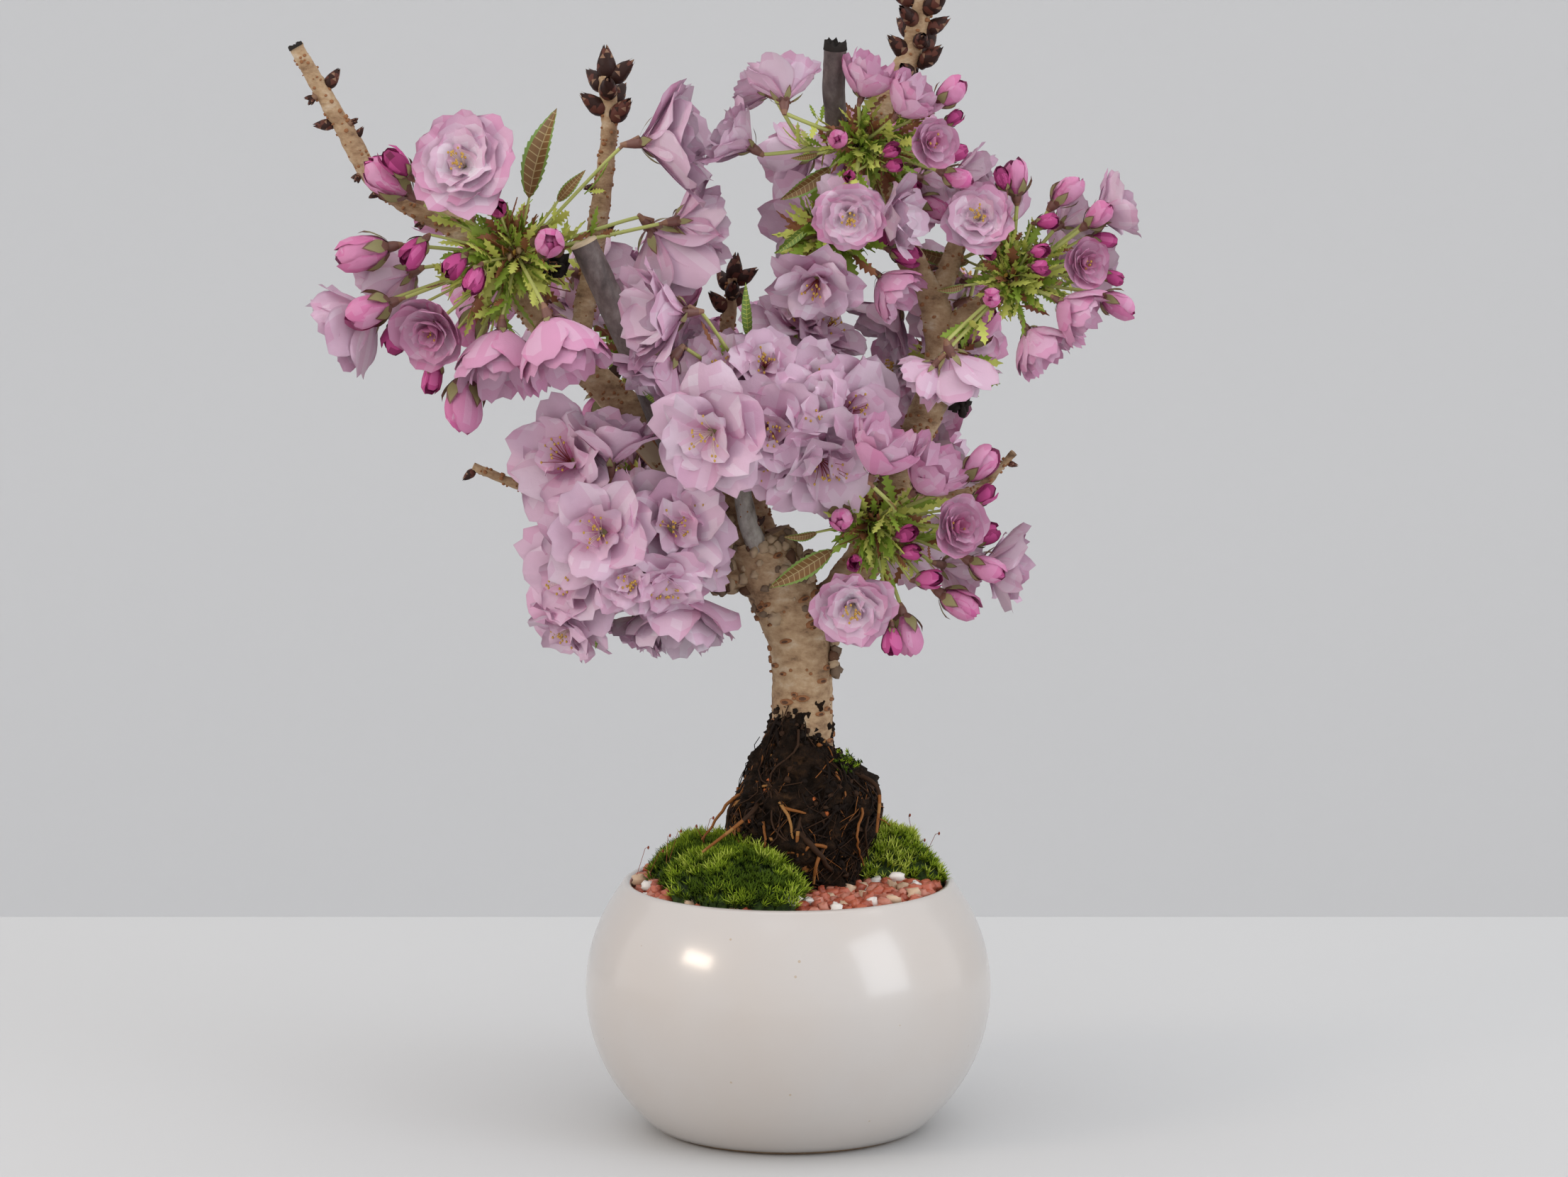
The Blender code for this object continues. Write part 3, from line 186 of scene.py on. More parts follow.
CENTRE = metres((
    (("open", 33.5, (-30, 8, 30), (-9, 4, 0)),
     ("open", 27.9, (-31, 4, 11), (-6, 2, -7)),
     ("double", 26.8, (10, 2, 25), (2, 5, 8)),
     ("double", 27.9, (20, -2, 21), (6, 3, 6)),
     ("double", 25.7, (-13, 14, 11), (-3, 8, 5)),
     ("double", 24.6, (1, 16, 13), (0, 8, 5)),
     ("double", 25.7, (16, 14, 8), (4, 8, 3)),
     ("double", 42.4, (-16, 22, -6), (-3, 9, -1)),
     ("double", 31.3, (3, 26, -6), (0, 10, 0)),
     ("double", 26.8, (15, 22, -2), (3, 9, 0)),
     ("double", 36.9, (28, 12, -2), (7, 7, 1)),
     ("double", 36.9, (19, 16, -18), (3, 8, -5)),
     ("double", 27, (-35, 4, -6), (-8, 5, 0)),
     ("double", 22.3, (1, 12, -19), (0, 7, -7))),
    (((-4, 10, 20), (-5, 12, 38)), ((-30, 10, 0), (-38, 12, 6)))))

LOWER_LEFT = metres((
    (("double", 38, (-21, 10, 32), (-5, 8, 3)),
     ("open", 29, (-6, 2, 37), (1, 1, 10)),
     ("double", 35.7, (-10, 22, 11), (-2, 9.5, 2)),
     ("double", 36.9, (13, 18, 12), (2, 9.5, 2)),
     ("double", 22, (20, 8, 18), (5, 7, 4)),
     ("double", 42.4, (-19, 14, -4), (-6, 8, 0)),
     ("double", 26.8, (-21, 6, -22), (-5, 5, -7)),
     ("double", 20.1, (-1, 24, -5), (0, 10, -1)),
     ("double", 25.7, (10, 20, -7), (2, 9, -4)),
     ("double", 20.1, (22, 12, 0), (7, 7, 0)),
     ("bell", 36.9, (15, 8, -24), (0, 2, -10)),
     ("open", 20.1, (1, 0, -22), (-5, 2, -8))),
    (((-10, 6, -18), (-12, 8, -28)),)))

# A mass of blossom: the bough that its stem meets, its heart, how many blooms its hidden side has
# and how far they reach, and the front's blooms and leaves with how they are scaled, turned
# (degrees, anticlockwise from the front) and mirrored.
Mass = namedtuple("Mass", "name bough heart hidden reach front leaves scale turn mirrored")


def mass_of(name, bough, heart, hidden, reach, front=(), leaves=(), scale=1.0, turn=0,
            mirrored=False):
    """A mass with its heart and reach in millimetres; a back one shows no listed blooms."""
    return Mass("blossom_" + name, bough, Vector(metres(heart)), hidden, metres(reach), front,
                leaves, scale, turn, mirrored)


MASSES = [
    mass_of("middle", "bough_right", (11.7, -12, 286.7), 3, (18, 24, 18), *SPRAY),
    mass_of("lower_left", "bough_lower_left", (-48.7, -8, 184.5), 8, (28, 30, 26), *LOWER_LEFT),
    mass_of("centre", "bough_centre", (-8.3, -12, 234.2), 8, (30, 30, 26), *CENTRE),
    mass_of("upper_left", "bough_left", (-84.8, -10, 280), 8, (40, 36, 34), *UMBEL),
    mass_of("lower_right", "bough_right", (25.8, -18, 197.4), 7, (30, 34, 28), *UMBEL, 0.794,
            138.8),
    mass_of("right", "bough_right_side", (70, -8, 272.1), 8, (30, 34, 28), *UMBEL, 0.688,
            57.5, True),
    mass_of("top", "bough_top_cut", (22.7, -16, 315), 7, (28, 34, 24), *UMBEL, 0.644, 140.4),
    mass_of("back_left", "bough_left", (-50, 36, 247), 8, (30, 30, 28)),
    mass_of("back_right", "bough_right", (52, 32, 242), 8, (26, 28, 26)),
    mass_of("back_centre", "bough_back", (-8, 60, 230), 8, (28, 26, 28)),
    mass_of("back_low_left", "twig_lower_left", (-46, 36, 196), 6, (24, 24, 22)),
    mass_of("back_low_right", "bough_right", (34, 36, 202), 6, (24, 24, 22)),
    mass_of("back_top", "bough_right", (30, 34, 302), 6, (22, 24, 22)),
]
HIDDEN_WIDTHS = {"double": 0.029, "open": 0.028, "bell": 0.024, "plump_bud": 0.012}
HIDDEN_KINDS = ("double", "open", "double", "bell", "double", "plump_bud")
CANDIDATES_EACH = 5  # spots tried for each bloom of a hidden side
LEAST_BACKWARD = 0.15  # how far to the back such a spot lies from its heart, at least
REACH_SHARES = (0.65, 1.0)
WIDTH_SHARES = (0.85, 1.05)
SPACING_SHARE = 0.4  # of both widths, kept between bloom and bloom
RIM_POINTS = 8
BACKWARD_SHIFTS = [0.003 * k for k in range(13)]  # tried in turn where a bloom would touch
DEPTH_SHIFTS = sorted([*BACKWARD_SHIFTS, *(-0.003 * k for k in range(1, 9))], key=abs)
NUDGES = [(0, 0), (0.003, 0), (-0.003, 0), (0, 0.003), (0, -0.003)]  # tried after every depth
PEDICEL_BOWS = ((0.0, 0.0), (0.15, 0.25), (0.15, -0.25), (0.35, 0.0))  # back from the bloom, aside
SMALLEST_BLOOM = 0.0046  # smaller buds than this are left out
HEART_RADIUS = 0.0045
STEM_RADIUS = 0.0021

# ---- roots

# Heights with the root mass's middle and its half width there.
ROOT_RINGS = metres([(1000 * GROUND, 4.5, 18.5), (84, 3.5, 20.8), (93, 3.5, 22.6),
                     (101, 4.5, 23), (109, 6.2, 21.2), (117, 6.8, 17.8),
                     (124, 5.2, 13.3), (134, 4.5, 10.6)])
ROOT_LUMPS = 0.07  # share of its radius
STRAY_ROOTS = metres([
    [(-8, -10, 108), (-13.5, -24, 104), (-27, -28, 94)],
    [(6, -18, 108), (3, -24.5, 100), (3, -23.5, 90)],
    [(14, -16, 100), (9, -24.5, 90), (8, -23, 83)],
    [(20, -8, 116), (28.5, -13, 112), (28, -16, 98)],
    [(-2, 18, 108), (-10, 27, 100), (-14, 28, 92)],
])
STRAY_ROOT_RADIUS = 0.0008

# ---- moss

# A mound's top as (x, y), its height over the soil, how far it spreads from there, and the
# straight edge that it stops at: a unit normal and how far that lies from the origin. Then its
# tone: the right one is the yellower.
Mound = namedtuple("Mound", "name top height spread edge tone")
MOUNDS = [
    Mound("moss_left", (-0.02, -0.012), 0.0185, 0.045, ((1, 0), 0.004), 0.55),
    Mound("moss_right", (0.027, 0.016), 0.02, 0.04, ((0, -1), 0.004), 1.9),
]
MOUND_EDGE = 0.0035  # its height where it ends

# ---- the growth rule


def round_angles(count):
    """This many angles, evenly round a circle."""
    return [tau * k / count for k in range(count)]


def spline(points, spacing):
    """Points along a Catmull-Rom curve through the given ones, about this far apart."""
    points = [Vector(p) for p in points]
    ends = [2 * points[0] - points[1], *points, 2 * points[-1] - points[-2]]
    out = []
    for k in range(len(points) - 1):
        a, b, c, d = ends[k : k + 4]
        steps = max(1, round((c - b).length / spacing))
        for s in range(steps):
            t = s / steps
            out.append(0.5 * (2 * b + (c - a) * t + (2 * a - 5 * b + 4 * c - d) * t * t
                              + (3 * b - a - 3 * c + d) * t ** 3))
    return [*out, points[-1]]


def wave(*phases):
    """A smooth value from -1 to 1 that wanders with its phases."""
    return sum(sin(p) for p in phases) / len(phases)


def limb_line(limb):
    """The limb's middle line and its radius at each point of it."""
    points = spline(limb.route, LIMB_SPACING)
    steps = ((b - a).length for a, b in zip(points, points[1:]))
    lengths = [0.0, *itertools.accumulate(steps)]
    shares = [length / lengths[-1] for length in lengths]
    return points, [limb.foot + (limb.tip - limb.foot) * share for share in shares]


def line_of(limb):
    """The same; but the trunk flares at its roots, and thickens where it forks."""
    points, radii = limb_line(limb)
    if limb is TRUNK:
        radii = [radius + FLARE * exp(-(point.z - GROUND) / FLARE_HEIGHT)
                 + COLLAR * exp(-((point.z - COLLAR_HEIGHT) / COLLAR_SPREAD) ** 2)
                 for point, radius in zip(points, radii)]
    return points, radii


class Obstacles:
    """Balls strung along every limb, and those of each bloom that is already placed."""

    def __init__(self):
        self.centres, self.radii, self.owners = [], [], []
        for limb in LIMBS:
            points, radii = line_of(limb)
            for a, b, ra, rb in zip(points, points[1:], radii, radii[1:]):
                for step in range(6):
                    self.add(a.lerp(b, step / 6), ra + (rb - ra) * step / 6, limb.name)
            if limb.name in BUD_CLUSTERS:
                stretch = BUD_CLUSTERS[limb.name][1]
                self.add(points[-1], stretch * 0.45, limb.name)
                self.add(points[-1].lerp(points[-2], 0.8), stretch * 0.55, limb.name)

    def add(self, centre, radius, owner):
        self.centres.append(tuple(centre))
        self.radii.append(radius)
        self.owners.append(owner)

    def add_all(self, balls, owner):
        for ball in balls:
            self.add(*ball, owner)

    def clear(self, balls, owner):
        """Whether the balls keep the margin to everything that isn't their own mass's."""
        others = [i for i, name in enumerate(self.owners) if name != owner]
        centres = np.array(self.centres)[others]
        radii = np.array(self.radii)[others]
        for centre, radius in balls:
            away = np.linalg.norm(centres - np.array(centre), axis=1)
            if (away < radii + radius + BLOOM_MARGIN).any():
                return False
        return True


def bloom_balls(kind, width, base, facing):
    """A few balls that fill the bloom's shape."""
    rim, high, top = BLOOM_SHAPES[kind]
    middle = base + facing * width * (0.1 + top) / 2
    if kind.endswith("bud"):
        return [(middle, width * 0.5), (base + facing * width * top * 0.8, width * 0.3)]
    balls = [(middle, width * 0.22)]
    side = facing.orthogonal()
    other = facing.cross(side)
    edge = base + facing * width * high
    for angle in round_angles(8):
        out = (cos(angle) * side + sin(angle) * other) * width * rim
        balls.append((edge + out * 0.85 - facing * width * 0.03, width * 0.11))
        balls.append((base.lerp(edge, 0.6) + out * 0.5, width * 0.12))
    return balls


def pedicel_route(heart, base, facing, bow):
    """From the heart to the bloom's base, straight or bowed back and aside."""
    if not any(bow):
        return [heart, base]
    back, aside = bow
    reach = (base - heart).length
    across = Vector((base.z - heart.z, 0, heart.x - base.x)).normalized()
    middle = heart.lerp(base, 0.55) - facing * reach * back + across * reach * aside
    return [heart, middle, base]


def route_balls(route, radius):
    balls = []
    for a, b in zip(route, route[1:]):
        steps = max(2, int((b - a).length / 0.002))
        balls += [(a.lerp(b, s / steps), radius) for s in range(steps + 1)]
    return [ball for ball in balls if (ball[0] - route[0]).length > 0.005]


Placed = namedtuple("Placed", "kind width base facing route")


def from_front(mass, vector, scaled=True):
    """A (right, forward, up) vector of the mass's list, turned, mirrored and scaled to the tree."""
    right, forward, up = vector
    if mass.mirrored:
        right = -right
    c, s = cos(radians(mass.turn)), sin(radians(mass.turn))
    size = mass.scale if scaled else 1.0
    return size * Vector((right * c - up * s, -forward, right * s + up * c))


def bloom_base(kind, width, centre, facing):
    """Where a bloom's base lies, when the bloom is centred on this point."""
    return centre - facing * width * max(BLOOM_SHAPES[kind][1:]) * 0.5


def place(mass, kind, width, centre, facing, obstacles, depths=DEPTH_SHIFTS):
    """Places one bloom, moved in depth where it would touch a limb or another mass."""
    heart = mass.heart
    for (right, up), shift in itertools.product(NUDGES, depths):
        base = bloom_base(kind, width, centre + Vector((right, shift, up)), facing)
        balls = bloom_balls(kind, width, base, facing)
        if not obstacles.clear(balls, mass.name):
            continue
        for bow in PEDICEL_BOWS:
            route = pedicel_route(heart, base, facing, bow)
            stalk = route_balls(route, PEDICEL_RADIUS)
            if obstacles.clear(stalk, mass.name):
                obstacles.add_all([*balls, *stalk], mass.name)
                return Placed(kind, width, base, facing, route)
    return None


def behind_front(centre, width, shown):
    """Whether most of the bloom's rim lies behind blooms of the front, seen from there."""
    hidden = 0
    for angle in round_angles(RIM_POINTS):
        x = centre.x + 0.5 * width * cos(angle)
        z = centre.z + 0.5 * width * sin(angle)
        hidden += any(hypot(x - b.base.x, z - b.base.z) < 0.5 * b.width for b in shown)
    return hidden > RIM_POINTS / 2


def hidden_candidates(mass, rng):
    """Blooms for the side that the front ones don't cover, by the golden angle."""
    total = CANDIDATES_EACH * mass.hidden
    front = bool(mass.front)
    for k in range(total):
        lift = 1 - 2 * (k + 0.5) / total
        angle = k * pi * (3 - sqrt(5))
        level = sqrt(1 - lift * lift)
        way = Vector((level * cos(angle), level * sin(angle), lift))
        if front and way.y < LEAST_BACKWARD:
            continue
        reach = Vector([a * b for a, b in zip(way, mass.reach)]) * rng.uniform(*REACH_SHARES)
        kind = HIDDEN_KINDS[k % len(HIDDEN_KINDS)]
        width = HIDDEN_WIDTHS[kind] * rng.uniform(*WIDTH_SHARES) * (0.75 + 0.25 * mass.scale)
        yield kind, width, mass.heart + reach, (way + Vector((0, 0, 0.1))).normalized()


def front_blooms(mass, obstacles, smallest=False):
    """The mass's listed blooms, placed: the solids' own, or the buds too small for a solid."""
    placed = []
    for kind, width, offset, facing in mass.front:
        if (width * mass.scale < SMALLEST_BLOOM) == smallest:
            centre = mass.heart + from_front(mass, offset)
            facing = from_front(mass, facing, scaled=False).normalized()
            placed.append(place(mass, kind, width * mass.scale, centre, facing, obstacles))
    return [bloom for bloom in placed if bloom]


def hidden_blooms(mass, obstacles, shown, rng):
    """Blooms for the mass's hidden side, set apart, and behind those that the front shows."""
    placed = []
    for kind, width, centre, facing in hidden_candidates(mass, rng):
        near = [(p.base - centre).length < SPACING_SHARE * (p.width + width)
                for p in [*shown, *placed]]
        if len(placed) < mass.hidden and not any(near) and behind_front(centre, width, shown):
            made = place(mass, kind, width, centre, facing, obstacles, BACKWARD_SHIFTS)
            if made:
                placed.append(made)
    return placed


def place_leaves(mass, obstacles):
    """The mass's leaves as (start, end), moved in depth like the blooms."""
    placed = []
    for ends in mass.leaves:
        start, end = [mass.heart + from_front(mass, spot) for spot in ends]
        for shift in DEPTH_SHIFTS:
            move = Vector((0, shift, 0))
            balls = [((start + move).lerp(end + move, t / 5), (end - start).length * 0.16)
                     for t in range(6)]
            stalk = route_balls([mass.heart, start + move], PEDICEL_RADIUS)
            if obstacles.clear([*balls, *stalk], mass.name):
                obstacles.add_all([*balls, *stalk], mass.name)
                placed.append((start + move, end + move))
                break
    return placed


def nearest_on(name, spot):
    """The point of this limb's middle line that lies nearest."""
    points, _ = line_of(next(limb for limb in LIMBS if limb.name == name))
    along = [a.lerp(b, t / 8) for a, b in zip(points, points[1:]) for t in range(9)]
    return min(along, key=lambda point: (point - spot).length)


# ---- colours

# Petal tints from nearly white to the dark red of a shut bud.
PETAL_TINTS = [
    (0.745, 0.69, 0.745), (0.71, 0.6, 0.68), (0.67, 0.51, 0.61), (0.635, 0.43, 0.55),
    (0.61, 0.355, 0.49), (0.585, 0.28, 0.43), (0.57, 0.22, 0.38), (0.55, 0.165, 0.33),
    (0.53, 0.11, 0.29), (0.44, 0.06, 0.215), (0.27, 0.028, 0.12), (0.14, 0.014, 0.055),
]
PETAL_NAMES = [f"petal {number}" for number in range(len(PETAL_TINTS))]
PLAIN = {  # base colour, roughness
    "pedicel green": ((0.42, 0.45, 0.13), 0.55),
    "pedicel red": ((0.24, 0.12, 0.07), 0.55),
    "calyx": ((0.16, 0.065, 0.05), 0.5),
    "sepal": ((0.25, 0.22, 0.09), 0.6),
    "bract green": ((0.24, 0.35, 0.035), 0.6),
    "bract yellow": ((0.58, 0.62, 0.13), 0.6),
    "bract bronze": ((0.3, 0.115, 0.05), 0.6),
    "heart scale": ((0.3, 0.2, 0.1), 0.7),
    "leaf bronze": ((0.19, 0.095, 0.03), 0.5),
    "leaf vein": ((0.38, 0.29, 0.13), 0.55),
    "leaf green": ((0.17, 0.27, 0.05), 0.5),
    "filament": ((0.8, 0.66, 0.58), 0.55),
    "anther gold": ((0.55, 0.33, 0.06), 0.65),
    "anther rust": ((0.3, 0.05, 0.04), 0.65),
    "bud scale dark": ((0.034, 0.015, 0.012), 0.45),
    "bud scale red": ((0.105, 0.036, 0.026), 0.45),
    "bud scale tan": ((0.24, 0.14, 0.09), 0.6),
    "lenticel": ((0.27, 0.115, 0.045), 0.85),
    "lenticel dark": ((0.1, 0.045, 0.022), 0.85),
    "burr pale": ((0.4, 0.29, 0.185), 0.9),
    "burr grey": ((0.17, 0.115, 0.075), 0.9),
    "scar rim": ((0.34, 0.15, 0.06), 0.85),
    "cut wood": ((0.46, 0.36, 0.24), 0.8),
    "burnt wood": ((0.022, 0.018, 0.016), 0.9),
    "root dark": ((0.01, 0.0055, 0.0035), 0.8),
    "root brown": ((0.038, 0.018, 0.009), 0.7),
    "root russet": ((0.22, 0.08, 0.02), 0.55),
    "root tan": ((0.3, 0.145, 0.045), 0.6),
    "root cut": ((0.42, 0.11, 0.03), 0.6),
    # The moss tints, deep to yellow, are dealt out over the cushions with painted light and shade.
    "moss deep": ((0.012, 0.026, 0.003), 0.9),
    "moss green": ((0.068, 0.115, 0.007), 0.8),
    "moss bright": ((0.23, 0.32, 0.018), 0.75),
    "moss yellow": ((0.48, 0.55, 0.09), 0.75),
    "moss stalk": ((0.22, 0.05, 0.025), 0.6),
    "stone salmon": ((0.47, 0.12, 0.066), 0.35),
    "stone brick": ((0.33, 0.068, 0.034), 0.4),
    "stone rose": ((0.5, 0.19, 0.13), 0.4),
    "stone cream": ((0.6, 0.42, 0.28), 0.4),
    "stone white": ((0.76, 0.71, 0.66), 0.35),
}
# Natural surfaces: colours by their place on a noise pattern, its scale and how it is stretched,
# the roughness, and the bump's strength and depth.
NATURAL = {
    "bark pale": (((0.28, (0.105, 0.056, 0.03)), (0.42, (0.3, 0.185, 0.1)),
                   (0.55, (0.42, 0.285, 0.165)), (0.72, (0.54, 0.43, 0.31))),
                  140, (1, 1, 1.7), 0.85, 0.8, 0.0006),
    "bark grey": (((0.32, (0.05, 0.036, 0.034)), (0.5, (0.115, 0.085, 0.08)),
                   (0.68, (0.2, 0.165, 0.155))), 180, (1, 1, 0.6), 0.6, 0.35, 0.0006),
    "bark weathered": (((0.32, (0.11, 0.085, 0.07)), (0.5, (0.33, 0.3, 0.27)),
                        (0.68, (0.5, 0.47, 0.43))), 180, (1, 1, 0.6), 0.8, 0.5, 0.0006),
    "root earth": (((0.35, (0.005, 0.003, 0.0018)), (0.55, (0.018, 0.0095, 0.0052)),
                    (0.76, (0.065, 0.032, 0.014))), 260, (1, 1, 1), 0.9, 1.0, 0.001),
    # The moss bed's dark greens are painted shade: the shade deep among the shoots.
    "moss bed": (((0.35, (0.01, 0.018, 0.004)), (0.6, (0.045, 0.085, 0.012))),
                 420, (1, 1, 1), 0.95, 1.0, 0.0006),
    "bare clay": (((0.4, (0.36, 0.24, 0.15)), (0.7, (0.5, 0.36, 0.24))),
                  300, (1, 1, 1), 0.8, 0.5, 0.0006),
    "potting soil": (((0.35, (0.02, 0.012, 0.008)), (0.55, (0.075, 0.045, 0.026)),
                      (0.75, (0.22, 0.15, 0.1))), 500, (1, 1, 1), 0.95, 1.0, 0.0006),
}
SHINE, DULL_SHINE, EARTH_SHINE = 0.5, 0.15, 0.12  # specular levels
DULL = ("moss", "root", "burnt", "bud")  # how the names of dull plain finishes start


def set_inputs(node, **values):
    """Sets a shader node's inputs; an underscore in a name stands for a space."""
    for name, value in values.items():
        node.inputs[name.replace("_", " ")].default_value = value


def add_node(tree, kind, **values):
    made = tree.nodes.new("ShaderNode" + kind)
    set_inputs(made, **values)
    return made


def link(tree, start, output, end, entry):
    tree.links.new(start.outputs[output], end.inputs[entry])


def principled(name, colour, roughness, **values):
    """A Principled material with a plain base colour."""
    made = bpy.data.materials.new(name)
    made.use_nodes = True
    shader = made.node_tree.nodes["Principled BSDF"]
    set_inputs(shader, Base_Color=(*colour, 1), Roughness=roughness, **values)
    return made, shader


def noise_on_object(tree, scale, detail, squeeze=(1, 1, 1)):
    """A noise pattern on Object coordinates."""
    place = add_node(tree, "TexCoord")
    stretch = add_node(tree, "Mapping", Scale=squeeze)
    pattern = add_node(tree, "TexNoise", Scale=scale, Detail=detail)
    link(tree, place, "Object", stretch, "Vector")
    link(tree, stretch, "Vector", pattern, "Vector")
    return pattern


def grain(material, shader, scale, strength, depth=0.0003, detail=4.0, squeeze=(1, 1, 1)):
    """Adds a fine bump to a material, on Object coordinates."""
    tree = material.node_tree
    pattern = noise_on_object(tree, scale, detail, squeeze)
    bump = add_node(tree, "Bump", Strength=strength, Distance=depth)
    link(tree, pattern, "Fac", bump, "Height")
    link(tree, bump, "Normal", shader, "Normal")


def plain(name):
    """A finish of one colour with a fine grain."""
    shine = DULL_SHINE if name.startswith(DULL) else SHINE
    made, shader = principled(name, *PLAIN[name], Specular_IOR_Level=shine)
    grain(made, shader, 1800, 0.25)
    return made


def petal_tissue(name):
    """A petal tint, with light spreading a little through it as in thin tissue."""
    colour = PETAL_TINTS[PETAL_NAMES.index(name)]
    made, shader = principled(name, colour, 0.62, Specular_IOR_Level=0.25,
                              Subsurface_Weight=0.45, Subsurface_Radius=(1.0, 0.7, 0.85),
                              Subsurface_Scale=0.0022)
    shader.subsurface_method = "BURLEY"
    grain(made, shader, 420, 0.45, 0.0005, detail=3)
    return made


def natural(name):
    """A natural surface: colours dealt over noise on Object coordinates, with a bump."""
    stops, scale, squeeze, roughness, bump, depth = NATURAL[name]
    shine = EARTH_SHINE if name == "root earth" else SHINE
    made, shader = principled(name, stops[0][1], roughness, Specular_IOR_Level=shine)
    grain(made, shader, scale * 4, bump, depth, squeeze=squeeze)
    tree = made.node_tree
    pattern = noise_on_object(tree, scale, 6, squeeze)
    set_inputs(pattern, Roughness=0.65)
    ramp = add_node(tree, "ValToRGB")
    while len(ramp.color_ramp.elements) < len(stops):
        ramp.color_ramp.elements.new(0.5)
    for element, (position, colour) in zip(ramp.color_ramp.elements, stops):
        element.position = position
        element.color = (*colour, 1)
    link(tree, pattern, "Fac", ramp, "Fac")
    link(tree, ramp, "Color", shader, "Base Color")
    return made


def finish_of(name):
    """The finish of this name, made once."""
    maker = natural if name in NATURAL else plain if name in PLAIN else petal_tissue
    return bpy.data.materials.get(name) or maker(name)


# ---- gathering shapes


class Gathered:
    """Loose shapes that become one joined piece, each face with the number of its finish."""

    def __init__(self):
        self.points, self.count = [], 0
        self.faces, self.finishes = {4: [], 3: []}, {4: [], 3: []}  # by their number of corners

    def add(self, points, faces, finish):
        """Adds points with faces of three or four corners; finish is one number or one a face."""
        points = np.asarray(points, np.float64).reshape(-1, 3)
        faces = np.asarray(faces, np.int64)
        corners = faces.shape[1]
        self.faces[corners].append(faces + self.count)
        self.finishes[corners].append(np.broadcast_to(np.asarray(finish, np.int64), len(faces)))
        self.points.append(points)
        self.count += len(points)

    def piece(self, name, finishes, slot, nodes=()):
        """The finished object: it rides on the frame and stands for these nodes of it."""
        points = np.concatenate(self.points)
        corners, starts, numbers, start = [], [], [], 0
        for size, faces in self.faces.items():
            if faces:
                faces = np.concatenate(faces)
                corners.append(faces.ravel())
                starts.append(start + size * np.arange(len(faces)))
                numbers.append(np.concatenate(self.finishes[size]))
                start += faces.size
        mesh = bpy.data.meshes.new(name)
        mesh.vertices.add(len(points))
        mesh.vertices.foreach_set("co", points.ravel())
        mesh.loops.add(start)
        mesh.loops.foreach_set("vertex_index", np.concatenate(corners))
        mesh.polygons.add(sum(len(s) for s in starts))
        mesh.polygons.foreach_set("loop_start", np.concatenate(starts))
        mesh.polygons.foreach_set("material_index", np.concatenate(numbers))
        mesh.polygons.foreach_set("use_smooth", np.ones(len(mesh.polygons), bool))
        for finish in finishes:
            mesh.materials.append(finish_of(finish))
        mesh.update(calc_edges=True)
        mesh.validate()
        finished(add_object(name, mesh), nodes)


def add_object(name, data):
    made = bpy.data.objects.new(name, data)
    bpy.context.scene.collection.objects.link(made)
    return made


def finished(obj, nodes=()):
    """Ties a piece to the frame."""
    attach(obj, "root")
    if nodes:
        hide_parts(*nodes)


def across(way):
    """Two unit vectors at right angles to this one and to each other."""
    side = way.orthogonal().normalized()
    return side, way.cross(side)


def outward(side, other, angle):
    """The unit vector at this angle in the plane of these two."""
    return side * cos(angle) + other * sin(angle)


def fan(sides, flip=False):
    """Triangles from a ring of points to the one point that follows it."""
    faces = [(i, (i + 1) % sides, sides) for i in range(sides)]
    return [face[::-1] for face in faces] if flip else faces


def turned(shape, angle):
    """Points as rows, turned about the upright axis."""
    c, s = cos(angle), sin(angle)
    return np.stack([c * shape[:, 0] - s * shape[:, 1], s * shape[:, 0] + c * shape[:, 1],
                     shape[:, 2]], axis=1)


def draws(rng, low, high, count=3):
    return [rng.uniform(low, high) for _ in range(count)]


def shaken(rng, reach):
    """A vector whose shares are each drawn from within this reach."""
    return Vector(draws(rng, -reach, reach))


def any_way(rng):
    """A unit vector in any direction."""
    return Vector([rng.gauss(0, 1) for _ in range(3)]).normalized()


def grid_faces(rows, columns, closed=False):
    """Quads over a grid of points, row by row; closed joins the last column to the first."""
    across = columns if closed else columns - 1
    i, j = np.meshgrid(np.arange(rows - 1), np.arange(across), indexing="ij")
    k = (j + 1) % columns
    corners = [i * columns + j, i * columns + k, (i + 1) * columns + k, (i + 1) * columns + j]
    return np.stack([c.ravel() for c in corners], axis=1)


def rings_along(points, radii, sides, relief=None):
    """Rings of points round a line, turned as little as can be; relief adds to the radius."""
    points = [Vector(p) for p in points]
    side = None
    rings = []
    for k, point in enumerate(points):
        ahead = (points[min(k + 1, len(points) - 1)] - points[max(k - 1, 0)]).normalized()
        side = ahead.orthogonal() if side is None else side
        side = (side - ahead * side.dot(ahead)).normalized()
        other = ahead.cross(side)
        ring = []
        for angle in round_angles(sides):
            out = outward(side, other, angle)
            spot = point + out * radii[k]
            ring.append(spot + out * relief(spot, k) if relief else spot)
        rings.append(ring)
    return rings


def add_tube(gathered, points, radii, sides, finish, relief=None):
    """A closed tube along the points; the ends are closed by a point each."""
    rings = rings_along(points, radii, sides, relief)
    flat = [v for ring in rings for v in ring]
    faces = grid_faces(len(rings), sides, closed=True)
    finishes = np.repeat(np.broadcast_to(finish, len(rings) - 1), sides)
    gathered.add(flat, faces, finishes)
    for ring, centre, flip in ((rings[0], points[0], True), (rings[-1], points[-1], False)):
        gathered.add([*ring, centre], fan(sides, flip), finishes[0 if flip else -1])


